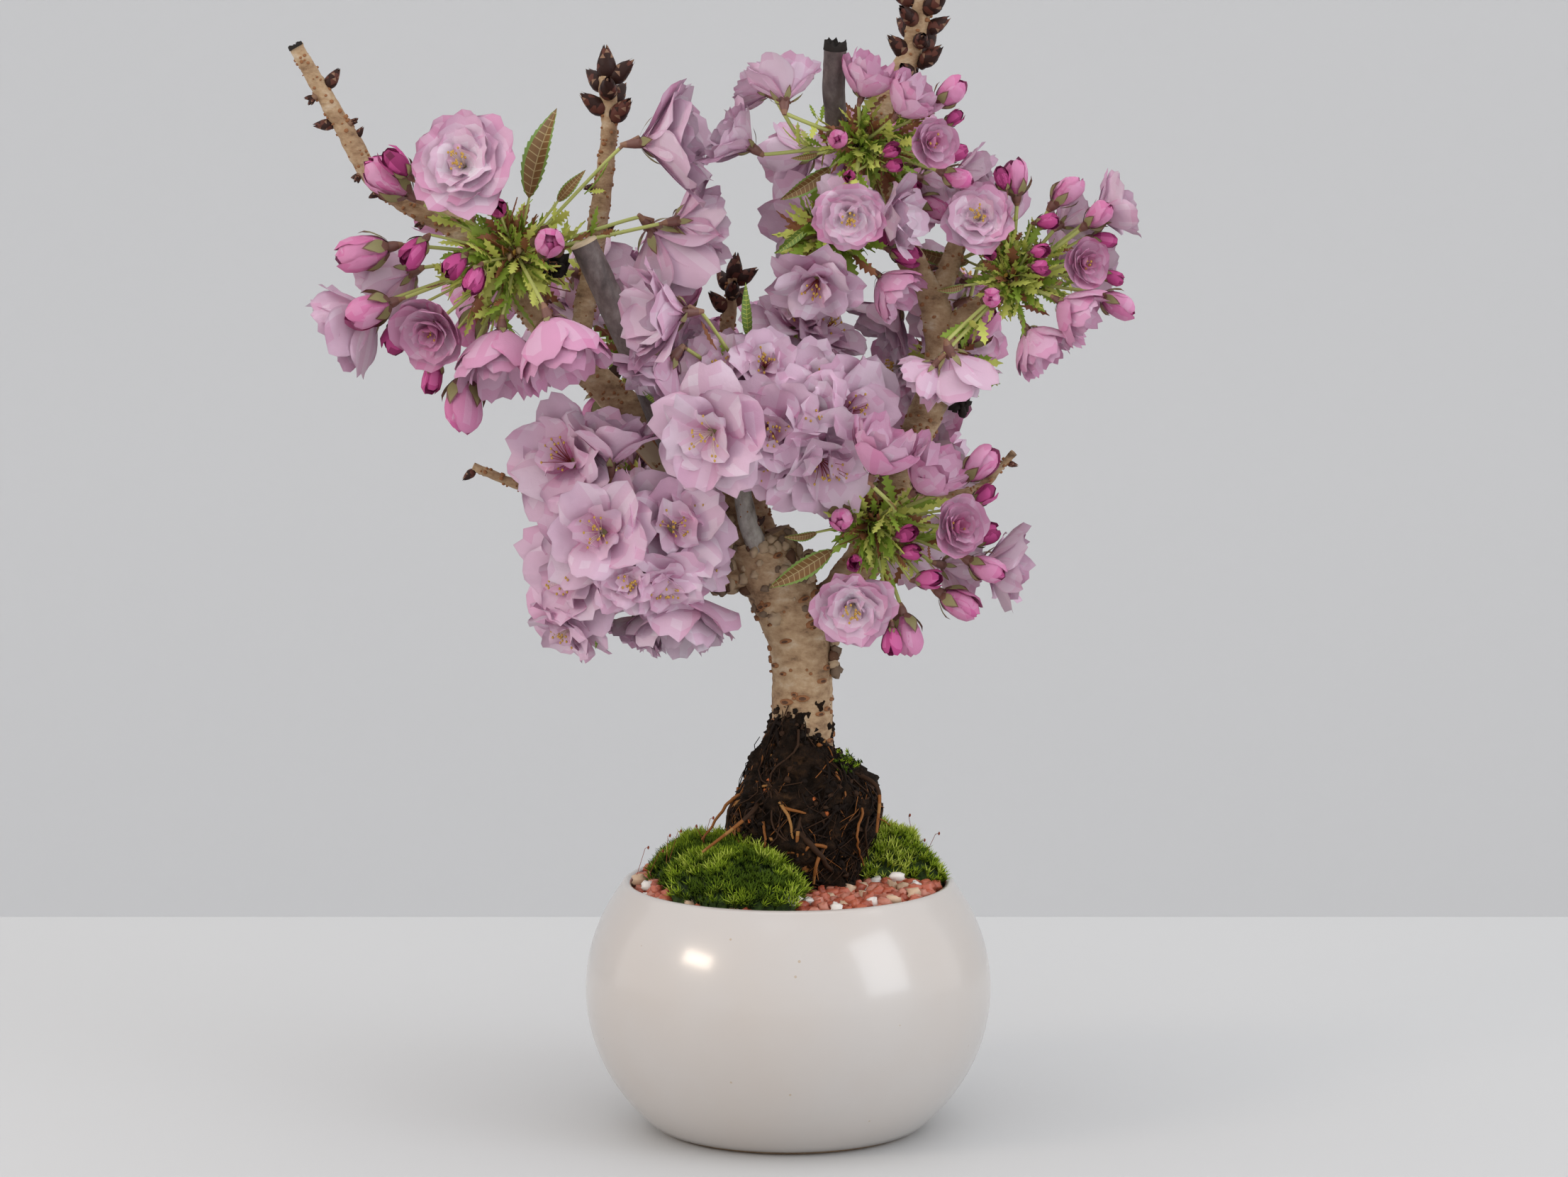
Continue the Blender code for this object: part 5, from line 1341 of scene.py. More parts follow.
def add_broken_end(ends, points, radii, finish, splinter, rng):
    """The face of a broken bough: a ragged plate with splinters round it."""
    tip = points[-1]
    ahead = (points[-1] - points[-3]).normalized()
    side, other = across(ahead)
    sides, rings = 18, 4
    spots = []
    for r in range(rings):
        share = (1.08, 1.02, 0.7, 0.35)[r]
        for angle in round_angles(sides):
            out = outward(side, other, angle)
            rise = (-0.0005, 0.3, 0.2, 0.1)[r]
            height = rise if r == 0 else splinter * (rise + rng.uniform(-0.4, 0.7))
            spots.append(tip + out * radii[-1] * share + ahead * height)
    ends.add(spots, grid_faces(rings, sides, closed=True), finish)
    ends.add([*spots[-sides:], tip + ahead * splinter * 0.1], fan(sides), finish)


def add_scar(ends, points, radii):
    """A strip of bare pale wood with a corky rim, on the side of the limb that faces front."""
    first, last = (int(share * len(points)) for share in SCAR)
    rows, columns = [], 9
    for k in range(first, last + 1):
        t = (k - first) / (last - first)
        ahead = heading(points, k)
        left = Vector((-ahead.z, 0, ahead.x)).normalized()
        half = 0.75 * sin(pi * t) ** 0.6 + 0.02
        for c in range(columns):
            share = 2 * c / (columns - 1) - 1
            out = outward(Vector((0, -1, 0)), left, 0.55 + half * share)
            rise = 0.0008 if abs(share) > 0.7 else 0.0003
            rows.append(points[k] + out * (radii[k] + rise))
    count = last - first + 1
    rim_row = [2, *([0] * (columns - 3)), 2]
    finish = [2] * (columns - 1) + rim_row * (count - 3) + [2] * (columns - 1)
    ends.add(rows, grid_faces(count, columns), finish)


def add_burrs(trim, rng):
    """Rough swellings where the trunk divides, and a knot at its right side."""
    for limb in LIMBS:
        points, radii = fine_line(limb)
        for k in range(1, len(points) - 1):
            near = 1 - (points[k] - FORK).length / FORK_REACH
            if near <= 0 or limb.name in SMOOTH_LIMBS:
                continue
            side, other = across(heading(points, k))
            for _ in range(6):
                if rng.random() > 0.2 + near * 0.9:
                    continue
                out = outward(side, other, rng.uniform(0, tau))
                add_burr(trim, points[k] + out * radii[k], rng.uniform(0.0006, 0.0021), rng)
    for centre, spread, count in BURR_HEAPS:
        for _ in range(count):
            spot = Vector([c + rng.uniform(-1, 1) * s for c, s in zip(centre, spread)])
            add_burr(trim, spot, rng.uniform(0.0008, 0.002), rng)


def add_burr(trim, spot, size, rng):
    half = [size * rng.uniform(0.8, 1.3) for _ in range(3)]
    add_lump(trim, spot, half, rng.choice((2, 2, 2, 2, 3, 3, 1)), seed=rng.uniform(0, 90),
             rough=0.55, rings=6, sides=9)


def add_lenticels(trim, limb, points, radii, rng):
    """Corky pores: long raised ones across the trunk, small round ones on the boughs."""
    if limb.name.endswith("_cut"):
        return
    trunk = limb is TRUNK
    length = sum((b - a).length for a, b in zip(points, points[1:]))
    spacing = 0.0006 if trunk else 0.00055
    for _ in range(int(length / spacing)):
        k = rng.randrange(2, len(points) - 2)
        if trunk and points[k].z < 0.118:
            continue
        ahead = heading(points, k)
        out = outward(*across(ahead), rng.uniform(0, tau))
        round_ = ahead.cross(out)
        large = trunk and rng.random() < 0.75
        widths, heights, rise, crown = LENTICELS[large]
        long = rng.uniform(*widths)
        tall = long * rng.uniform(*heights)
        centre = points[k] + out * radii[k]
        spots = [centre + out * (rise * crown)]
        for share, lift in ((0.5, rise), (0.85, rise * 0.8), (1.05, -0.0005)):
            for i, a in enumerate(round_angles(10)):
                drop = (cos(a) * long * share) ** 2 / (2 * radii[k])
                edge = share * (1 + 0.15 * noise.noise(centre * 900 + Vector((i, 0, 0))))
                spots.append(centre + round_ * cos(a) * long * edge
                             + ahead * sin(a) * tall * edge + out * (lift - drop))
        trim.add(spots[:11], [(0, 1 + i, 1 + (i + 1) % 10) for i in range(10)], 1 if large else 0)
        trim.add(spots[1:], grid_faces(3, 10, closed=True), 0)


def add_bud_groups(buds, limb, rng):
    """Winter buds where the limb's solid carries them, and a close whorl of them on one bough."""
    points, _ = limb_line(limb)
    tip, way = points[-1], (points[-1] - points[-2]).normalized()
    right = Vector((way.z, 0, -way.x)).normalized()
    front = way.cross(right)
    if limb.name in BUD_CLUSTERS:
        count, stretch, length = BUD_CLUSTERS[limb.name]
        add_scales(buds, tip - way * 0.002, way, length * 1.1, rng)
        for k in range(count - 1):
            angle = k * BUD_TURN
            out = outward(right, front, angle)
            spot = tip - way * stretch * (k + 1) / count + out * limb.tip * 0.4
            add_scales(buds, spot, out + way * 0.85, length, rng)
    if limb.name == "bough_right":
        for k in range(WHORL_BUDS):
            angle = k * BUD_TURN + 0.6
            out = outward(right, front, angle)
            spot = tip - way * (0.01 + 0.0021 * k) + out * limb.tip * 0.7
            add_scales(buds, spot, out + way * rng.uniform(0.4, 1.0),
                       rng.uniform(0.008, 0.0108), rng)
        return
    for distance, side, length in SINGLE_BUDS.get(limb.name, []):
        walked, spot, run = 0.0, tip, way
        for a, b in zip(points[::-1], points[-2::-1]):
            if walked + (a - b).length >= distance:
                run = (a - b).normalized()
                spot = a - run * (distance - walked)
                break
            walked += (a - b).length
        out = side * Vector((run.z, 0, -run.x)).normalized()
        add_scales(buds, spot + out * limb.tip * 0.8, out + run * 0.5, length * 0.72, rng)


# ---- roots

FIBRES = 420
CRUMBS = 900
CLOD_LOW, CLOD_HIGH = 0.1195, 0.1385  # the lowest and highest that its earth climbs the trunk
CLOD_CORE = 0.0085  # its least radius, inside the trunk
# Roots that hang free of the clod, or lie on it: how thick, the finish, then x, height and how far
# in front of the clod, from foot to tip, in millimetres.
HANGING_ROOTS = [
    (0.7, 2, ((-12, 110.5, 0), (-19.1, 105.9, 1), (-24.2, 98.8, 3), (-27.5, 94.5, 4))),
    (0.8, 1, ((-13.5, 109.7, 0), (-18.6, 104.5, 1), (-19.1, 96, 1))),
    (0.4, 3, ((-16.2, 106, 1), (-16.8, 101, 1), (-16.6, 95.5, 1))),
    (0.6, 3, ((-3.2, 108.5, 0), (0, 104.5, 1), (1.6, 99, 0.8), (2.3, 95, 0))),
    (0.6, 2, ((-1.5, 106.6, 0), (2, 106.2, 1), (5.5, 105.2, 0))),
    (0.6, 2, ((12, 94.5, 0), (8.6, 95.7, 0.8), (5.6, 94.8, 1), (4.7, 91.2, 0.8), (2.8, 86.8, 0))),
    (0.4, 2, ((-1, 93, 0), (2, 93.2, 0.8), (5, 92.2, 0))),
    (1.2, 1, ((2.5, 100.5, 0), (7, 96, 0.8), (11, 90.5, 0.8), (15, 85, 0))),
    (0.5, 2, ((22.5, 112, 0), (23.2, 104, 2), (21.5, 97, 3), (24, 86, 2))),
    (0.5, 1, ((24.5, 112, 2), (26.2, 106, 3), (24.5, 98, 3), (25.5, 88, 2))),
    (0.9, 1, ((-18, 101, 0), (-18.6, 94, 1), (-17.8, 88, 0))),
    (0.5, 2, ((-8, 102, 0), (-7.2, 97, 0.9), (-7.6, 91, 0))),
]
ROOT_STUBS = metres([(-6, 114.4), (-7.2, 111.1), (7.9, 109.4), (12, 105), (-12, 102)])


def root_half(height, angle):
    """How far the root mass reaches from its middle line at this height and angle, and where
    that middle is."""
    heights, middles, halves = zip(*ROOT_RINGS)
    middle = np.interp(height, heights, middles)
    half = np.interp(height, heights, halves)
    lumps = ROOT_LUMPS * wave(3 * angle + 210 * height, 5 * angle - 160 * height)
    return middle, half * (1 + lumps)


def clod_top(angle):
    """How high the dark earth climbs the trunk at this angle, ragged, highest at the front left."""
    lobe = 0.5 + 0.5 * cos(angle - radians(232))
    return CLOD_LOW + (CLOD_HIGH - CLOD_LOW) * lobe ** 2.2 + 0.0022 * wave(5 * angle, 9 * angle)


def clod_spot(height, angle):
    """The clod's middle and how far it reaches from there, without its cracks."""
    middle, half = root_half(height, angle)
    top = clod_top(angle)
    if height >= top:
        return middle, CLOD_CORE
    fade = min(1.0, (top - height) / 0.0085) ** 0.5
    return middle, CLOD_CORE + (half - CLOD_CORE) * fade


def before_clod(x, height, lift):
    """The spot at this x and height that lies so far in front of the clod."""
    middle, half = clod_spot(min(height, CLOD_LOW), -1.5708)
    across = min(abs(x - middle), half * 0.97)
    return Vector((x, -sqrt(half ** 2 - across ** 2) - lift, height))


def add_hanging_roots(fibres):
    for number, (thick, finish, route) in enumerate(HANGING_ROOTS):
        points = [before_clod(*spot) for spot in metres(route)]
        points = smoothed(spline(points, 0.0012), 3)
        bent = []
        for k, point in enumerate(points):
            shake = [noise.noise(Vector((k * 0.35, number * 5.1, level))) for level in (0, 7)]
            bent.append(point + Vector((*shake, 0)) * 0.0007)
        widths = [metres(thick) * (1.1 - 0.6 * s / len(bent)) for s in range(len(bent))]
        add_tube(fibres, bent, widths, 6, finish)
    for k, (x, height) in enumerate(ROOT_STUBS):
        add_lump(fibres, before_clod(x, height, 0.0004), (0.0009, 0.0008, 0.0009), 4, seed=k * 3.0,
                 rough=0.5, rings=5, sides=7)


def build_roots():
    """A clod of earth and old roots, wrapped in fibres, with a few that hang free."""
    rng = random.Random(GROWTH_SEED + 3)
    clod = Gathered()
    rows, sides = 78, 96
    spots = []
    for r in range(rows):
        height = GROUND + (CLOD_HIGH + 0.001 - GROUND) * r / (rows - 1)
        for angle in round_angles(sides):
            middle, half = clod_spot(height, angle)
            spot = Vector((middle + half * cos(angle), half * sin(angle), height))
            crack = 0.003 * noise.noise(spot * 120) + 0.0021 * noise.noise(spot * 330)
            crumb = 0.0012 * noise.noise(spot * 900)
            half += crack + crumb
            spots.append((middle + half * cos(angle), half * sin(angle), height))
    clod.add(spots, grid_faces(rows, sides, closed=True), 0)
    clod.add([*spots[-sides:], (ROOT_RINGS[-1][1], 0, CLOD_HIGH + 0.001)], fan(sides), 0)
    clod.add([*spots[:sides], (ROOT_RINGS[0][1], 0, GROUND)], fan(sides, flip=True), 0)
    clod.piece("root_clod", ["root earth"], "roots", ["root_mass"])
    fibres = Gathered()
    for k in range(FIBRES):
        add_fibre(fibres, rng, k)
    for _ in range(CRUMBS):
        height = rng.uniform(GROUND, CLOD_HIGH - 0.002)
        angle = rng.uniform(0, tau)
        height = min(height, clod_top(angle) - 0.0005)
        middle, half = clod_spot(height, angle)
        spot = (middle + half * cos(angle), half * sin(angle), height)
        size = rng.uniform(0.0004, 0.0015)
        finish = rng.choices((0, 1, 2, 3), (70, 25, 4, 1))[0]
        add_lump(fibres, spot, (size, size, size * 0.8), finish, seed=rng.uniform(0, 90), rough=1.0,
                 rings=4, sides=6)
    for number, route in enumerate(STRAY_ROOTS):
        points = smoothed(spline(route, 0.0015), 3)
        widths = [STRAY_ROOT_RADIUS * (1.05 - 0.55 * s / len(points)) for s in range(len(points))]
        tints = [1 if s < 0.45 * len(points) else 3 if (s + number) % 7 < 2 else 2
                 for s in range(len(points) - 1)]
        add_tube(fibres, points, widths, 7, tints)
        for _ in range(2):
            spot = points[rng.randrange(2, len(points) - 1)]
            way = Vector((rng.uniform(-1, 1), rng.uniform(-1, 0.5), rng.uniform(-1, 0.2)))
            ends = [spot, spot + way * 0.003, spot + way * 0.005 + Vector((0.0006, 0, -0.001))]
            add_tube(fibres, ends, [0.0003, 0.0002, 0.0001], 4, rng.choice((1, 2)))
    add_hanging_roots(fibres)
    fibres.piece("root_fibres", ("root dark", "root brown", "root russet", "root tan", "root cut"),
                 "roots")


def add_fibre(fibres, rng, number):
    """One root that runs down over the clod, now on it and now in it."""
    angle = rng.uniform(0, tau)
    high = rng.uniform(0.084, clod_top(angle))
    low = max(GROUND + 0.001, high - rng.uniform(0.006, 0.034))
    drift = rng.uniform(-1.2, 1.2)
    steps = max(5, int((high - low) / 0.0022))
    wiggle, phase = rng.uniform(0.03, 0.14), rng.uniform(0, 6.28)
    lifted = rng.uniform(-0.0002, 0.0013)
    points = []
    for s in range(steps + 1):
        t = s / steps
        height = high + (low - high) * t
        turn = angle + drift * t + wiggle * sin(9 * t + phase)
        middle, half = clod_spot(min(height, clod_top(turn) - 0.0004), turn)
        half += lifted + 0.0016 * noise.noise(Vector((number * 3.1, t * 4, 0.5)))
        points.append(Vector((middle + half * cos(turn), half * sin(turn), height)))
    thick = rng.choice((0.00014, 0.00018, 0.00022, 0.0003, 0.0005))
    radii = [thick * (1 - 0.55 * s / steps) for s in range(steps + 1)]
    finish = rng.choices((0, 1, 2, 3), (62, 28, 8, 2))[0]
    add_tube(fibres, points, radii, 5 if thick > 0.0004 else 4, finish)


# ---- moss and gravel

SHOOT_SPACING = 0.00108
BARE_RIM = 0.0055  # how wide the gravel shows between the left cushion and the pot
SETAE = metres([(-46.5, -12, 84), (-40, -14, 88), (-28, -10, 92),
                (38, 14, 88), (44, 10, 83)])  # where the moss has stalks with capsules
TUFT = (0.0184, 0.119)  # x and height of the moss on the clod, at its right


def mound_reach(spec, angle):
    """How far the cushion spreads from its top at this angle."""
    top = Vector(spec.top)
    (nx, ny), offset = spec.edge
    normal = Vector((nx, ny))
    way = Vector((cos(angle), sin(angle)))
    along = top.dot(way)
    bare = 0.0012 + BARE_RIM * max(0.0, -way.x) ** 2
    rim = FILL_RADIUS - bare
    to_rim = -along + sqrt(along ** 2 - top.length_squared + rim ** 2)
    reach = min(to_rim, spec.spread * (1 + 0.08 * wave(3 * angle, 5 * angle + 1)))
    if normal.dot(way) > 0.05:
        reach = min(reach, (offset - normal.dot(top)) / normal.dot(way))
    return reach * (1 + 0.05 * wave(7 * angle, 11 * angle + 2))


def mound_lumps(x, y):
    return (0.0021 * noise.noise(Vector((x * 95, y * 95, 0.3)))
            + 0.0012 * noise.noise(Vector((x * 270, y * 270, 1.3))))


def mound_height(spec, share, spot):
    """The cushion's height over the ground, by how far out it is, with its own lumps."""
    fall = max(0.0, 1 - share ** 2) ** 0.7
    lumps = mound_lumps(*spot) * min(1, 2 * fall)
    return max(0.0004, MOUND_EDGE + (spec.height - MOUND_EDGE) * fall + lumps)


def in_roots(x, y, height, spare=0.0):
    middle, half = root_half(min(height, ROOT_RINGS[-1][0]), atan2(y, x - 0.0045))
    return hypot(x - middle, y) < half + spare


def build_moss():
    """Two cushions, each a bed with thousands of small shoots; the bed's dark green is painted
    shade.
    """
    rng = random.Random(GROWTH_SEED + 4)
    shoots, stalks = Gathered(), Gathered()
    for spec in MOUNDS:
        # The bed under the shoots is coloured dark as painted shade.
        bed = Gathered()
        spokes, shares = 60, [k / 14 for k in range(1, 15)]
        spots = []
        for share in shares:
            for angle in round_angles(spokes):
                reach = mound_reach(spec, angle) * share
                x = spec.top[0] + reach * cos(angle)
                y = spec.top[1] + reach * sin(angle)
                spots.append((x, y, GROUND + mound_height(spec, share, (x, y)) - 0.0008))
        foot = [(x, y, GROUND) for x, y, _ in spots[-spokes:]]
        spots += foot
        bed.add(spots, grid_faces(len(shares) + 1, spokes, closed=True)[:, ::-1], 0)
        bed.add([*spots[:spokes], (*spec.top, GROUND + spec.height - 0.0008)], fan(spokes), 0)
        bed.add([*foot, (*spec.top, GROUND)], fan(spokes, flip=True), 0)
        bed.piece(f"{spec.name}_bed", ["moss bed"], "moss", [spec.name])
        add_shoots(shoots, spec, rng)
    for x, y, z in SETAE:
        for _ in range(2):
            foot = Vector((x + rng.uniform(-0.003, 0.003), y + rng.uniform(-0.003, 0.003), z))
            lean = Vector((rng.uniform(-0.6, 0.6), rng.uniform(-0.3, 0.3), 1)).normalized()
            tip = foot + lean * rng.uniform(0.007, 0.011)
            hook = tip + Vector((lean.x * 0.0012 + 0.0006, 0, 0.0002))
            add_tube(stalks, [foot, foot.lerp(tip, 0.5), tip, hook], [HAIR] * 4, 4, 0)
            add_lump(stalks, hook, (0.0004, 0.0004, 0.0006), 0, rings=4, sides=5)
    add_tuft(shoots, rng)
    shoots.piece("moss_shoots", ("moss deep", "moss green", "moss bright", "moss yellow"), "moss")
    stalks.piece("moss_stalks", ("moss stalk",), "moss")


def add_shoots(shoots, spec, rng):
    """Star-like shoots all over one cushion: painted light on its lumps, painted shade in the
    hollows.
    """
    wedge = tau / 72
    area = sum(0.5 * mound_reach(spec, k * wedge) ** 2 for k in range(72)) * wedge
    widest = max(mound_reach(spec, k * wedge) for k in range(72))
    wanted = int(area / SHOOT_SPACING ** 2)
    while wanted:
        angle = rng.uniform(0, tau)
        distance = widest * sqrt(rng.random())
        reach = mound_reach(spec, angle)
        if distance > reach * 0.99:
            continue
        wanted -= 1
        share = distance / reach
        x = spec.top[0] + distance * cos(angle)
        y = spec.top[1] + distance * sin(angle)
        z = GROUND + mound_height(spec, share, (x, y)) - 0.0012
        if in_roots(x, y, z, -0.0005):
            continue
        lean = share ** 2 * 0.8
        way = Vector((cos(angle) * lean + rng.uniform(-0.35, 0.35),
                      sin(angle) * lean + rng.uniform(-0.35, 0.35), 1)).normalized()
        raised = mound_lumps(x, y) / 0.0016
        # Painted light and shade: the tint lifts on the lumps and sinks in the hollows and towards
        # the cushion's edge.
        tint = spec.tone + 1.5 * raised + rng.uniform(-0.8, 0.9) - 0.7 * share ** 3
        finish = int(min(3, max(0, round(tint))))
        add_shoot(shoots, Vector((x, y, z)), way, rng.uniform(0.0028, 0.005) * (1 + 0.2 * raised),
                  finish, rng)


def add_tuft(shoots, rng):
    """A small tuft of moss high on the clod."""
    for _ in range(26):
        x, height = [middle + rng.gauss(0, 1) * spread
                     for middle, spread in zip(TUFT, (0.0022, 0.0024))]
        way = Vector((rng.uniform(-0.6, 0.8), -0.7, rng.uniform(0.2, 1.2))).normalized()
        add_shoot(shoots, before_clod(x, height, 0), way, rng.uniform(0.0016, 0.0028),
                  rng.choice((0, 0, 1, 1)), rng)


def add_shoot(shoots, foot, way, length, finish, rng):
    """One shoot: six narrow blades that fan from its foot, each paler towards its tip."""
    side, other = across(way)
    spin = rng.uniform(0, 6.28)
    points, faces = [], []
    for k in range(6):
        angle = spin + tau * k / 6
        open_ = 0.15 if k == 0 else rng.uniform(0.28, 0.62)
        out = outward(side, other, angle)
        half = way.cross(out) * 0.00025
        middle = foot + way * length * 0.55 + out * length * 0.3 * open_
        tip = foot + way * length * rng.uniform(0.85, 1.05) + out * length * open_
        start = len(points)
        points += [foot, middle + half, tip, middle - half]
        faces += [(start, start + 1, start + 3), (start + 1, start + 2, start + 3)]
    shoots.add(points, faces, [finish, min(3, finish + 1)] * 6)


GRAVEL_SPACING = 0.0041
PEBBLES = metres([(-7, -40.5, 81.5), (1.2, -42.5, 81.2), (2.1, -38, 81.2),
                  (34.5, -16, 84)])


def under_moss(x, y, spare=0.0):
    for spec in MOUNDS:
        dx, dy = x - spec.top[0], y - spec.top[1]
        if hypot(dx, dy) < mound_reach(spec, atan2(dy, dx)) - spare:
            return True
    return False


def build_gravel():
    """Chips of salmon stone in the open ground, with cream and white ones among them."""
    rng = random.Random(GROWTH_SEED + 5)
    stones = Gathered()
    steps = int(FILL_RADIUS / GRAVEL_SPACING) + 1
    span = range(-steps, steps + 1)
    for layer, i, j in itertools.product(range(3), span, span):
        x = (i + 0.5 * (j % 2) + rng.uniform(-0.25, 0.25) + 0.5 * layer) * GRAVEL_SPACING
        y = (j * 0.87 + rng.uniform(-0.25, 0.25) + 0.3 * layer) * GRAVEL_SPACING
        if hypot(x, y) > FILL_RADIUS - 0.0014 or under_moss(x, y, 0.0012):
            continue
        if in_roots(x, y, 0.079, 0.0003) or rng.random() < 0.22 * layer:
            continue
        slope = 0.0008 * (FILL_RADIUS + y) / FILL_RADIUS
        z = GROUND + 0.0012 + layer * 0.00135 + slope
        add_stone(stones, (x, y, z), rng)
    for x, y, z in PEBBLES:
        add_stone(stones, (x, y, z), rng, 4)
    for k in range(26):
        angle = radians(150 + 2.6 * k)
        r = FILL_RADIUS - rng.uniform(0.001, 0.005)
        add_stone(stones, (r * cos(angle), r * sin(angle), GROUND + rng.uniform(0.001, 0.004)), rng)
    stones.piece("gravel_stones", ("stone salmon", "stone brick", "stone rose", "stone cream",
                                   "stone white"), "gravel", ["gravel"])


def add_stone(stones, centre, rng, finish=None):
    """One chip: a lump with its own flats."""
    half = [rng.uniform(0.0018, 0.003), rng.uniform(0.0016, 0.0027), rng.uniform(0.0014, 0.0022)]
    if finish is None:
        finish = rng.choices(range(5), (42, 24, 20, 9, 5))[0]
    add_lump(stones, centre, half, finish, seed=rng.uniform(0, 90), rough=0.7, rings=6, sides=8)


# ---- the pot

BARE_FOOT = 0.001  # the glaze ends this high over the table


def pot_outside(height):
    return POT_RADIUS * sqrt(1 - ((height - BELLY_HEIGHT) / BELLY_CURVE) ** 2)


def pot_profile(settings):
    """(radius, height) round the wall, from the underside's middle to the floor's middle."""
    foot = pot_outside(0.0) - 0.0012
    outside = [(pot_outside(h), h) for h in np.linspace(0.0015, POT_HEIGHT - 0.0035, 40)]
    lip_radius = settings.lip / 2
    centre = (0.0518, POT_HEIGHT - lip_radius)
    lip = [(centre[0] + lip_radius * cos(a), centre[1] + lip_radius * sin(a))
           for a in np.linspace(radians(20), radians(165), 9)]
    inside = [(pot_outside(h) - POT_WALL, h) for h in np.linspace(POT_HEIGHT - 0.005, 0.012, 14)]
    floor = [(pot_outside(0.006) - 2 * POT_WALL, 0.006), (0.0, 0.006)]
    return [(0.0, 0.0), (foot - 0.0006, 0.0), (foot, 0.0004), (foot + 0.0007, 0.001), *outside,
            *lip, *inside, *floor]


def glaze_material(settings):
    """Warm white glaze, a little uneven in tint, with rare specks, under a soft gloss."""
    made, shader = principled("white glaze", settings.glaze, settings.gloss, Coat_Weight=0.95,
                              Coat_IOR=1.6, Coat_Roughness=0.16)
    tree = made.node_tree
    place = add_node(tree, "TexCoord")
    cloud = noise_on_object(tree, 22, 3)
    tint = add_node(tree, "ValToRGB")
    warm, cool = tint.color_ramp.elements
    warm.position, cool.position = 0.35, 0.65
    warm.color = (*[c * s for c, s in zip(settings.glaze, (0.985, 0.955, 0.925))], 1)
    cool.color = (*settings.glaze, 1)
    dots = add_node(tree, "TexVoronoi", Scale=95)
    speck = add_node(tree, "Math")
    speck.operation = "LESS_THAN"
    speck.inputs[1].default_value = 0.045
    mixed = add_node(tree, "Mix")
    mixed.data_type = "RGBA"
    set_inputs(mixed, B=(0.45, 0.36, 0.27, 1))
    link(tree, place, "Object", dots, "Vector")
    link(tree, cloud, "Fac", tint, "Fac")
    link(tree, tint, "Color", mixed, "A")
    link(tree, dots, "Distance", speck, 0)
    link(tree, speck, "Value", mixed, "Factor")
    link(tree, mixed, "Result", shader, "Base Color")
    grain(made, shader, 60, 0.1, 0.0004, detail=2)
    return made


def build_pot(settings):
    """The round pot, turned from its profile, with a bare clay line at its foot."""
    profile = pot_profile(settings)
    mesh = bpy.data.meshes.new("pot_body")
    edges = [(k, k + 1) for k in range(len(profile) - 1)]
    mesh.from_pydata([(r, 0, z) for r, z in profile], edges, [])
    for other in bpy.context.selected_objects:
        other.select_set(False)
    obj = add_object("pot_body", mesh)
    obj.select_set(True)
    bpy.context.view_layer.objects.active = obj
    turned = obj.modifiers.new("turned", "SCREW")
    turned.steps = turned.render_steps = settings.segments
    turned.use_merge_vertices = True
    turned.merge_threshold = 1e-5
    turned.use_smooth_shade = True
    bpy.ops.object.modifier_apply(modifier="turned")
    bpy.ops.object.mode_set(mode="EDIT")
    bpy.ops.mesh.select_all(action="SELECT")
    bpy.ops.mesh.remove_doubles(threshold=1e-6)
    bpy.ops.mesh.normals_make_consistent(inside=False)
    bpy.ops.object.mode_set(mode="OBJECT")
    bpy.ops.object.shade_smooth_by_angle(angle=radians(50))
    obj.data.materials.append(glaze_material(settings))
    obj.data.materials.append(finish_of("bare clay"))
    for face in obj.data.polygons:
        if face.center.z < BARE_FOOT:
            face.material_index = 1
    finished(obj, ["pot"])


def dress_soil():
    """The earth under moss and gravel keeps its solid and gets a finish of grit and loam."""
    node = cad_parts["soil"]
    look = finish_of("potting soil")
    for place in node.material_slots:
        place.material = look
    if not node.material_slots:
        node.data.materials.append(look)


# ---- stage

FRONT_SHARE = 0.91  # of the light all round, that comes from the camera's side
CAMERA_PLACE = (-0.00135, -1.434, 0.355)
CAMERA_TILT = 82.8
CAMERA_LENS = 104.45
LAMP_TARGET = Vector((0, 0, 0.15))


def dim_front(tree, background, strength):
    """Light all round, weaker from the side that the camera looks from."""
    place = add_node(tree, "TexCoord")
    axes = add_node(tree, "SeparateXYZ")
    level = add_node(tree, "MapRange", From_Min=-1.0, From_Max=-0.3, To_Min=strength * FRONT_SHARE,
                     To_Max=strength)
    level.interpolation_type = "SMOOTHSTEP"
    link(tree, place, "Generated", axes, "Vector")
    link(tree, axes, "Y", level, "Value")
    link(tree, level, "Result", background, "Strength")


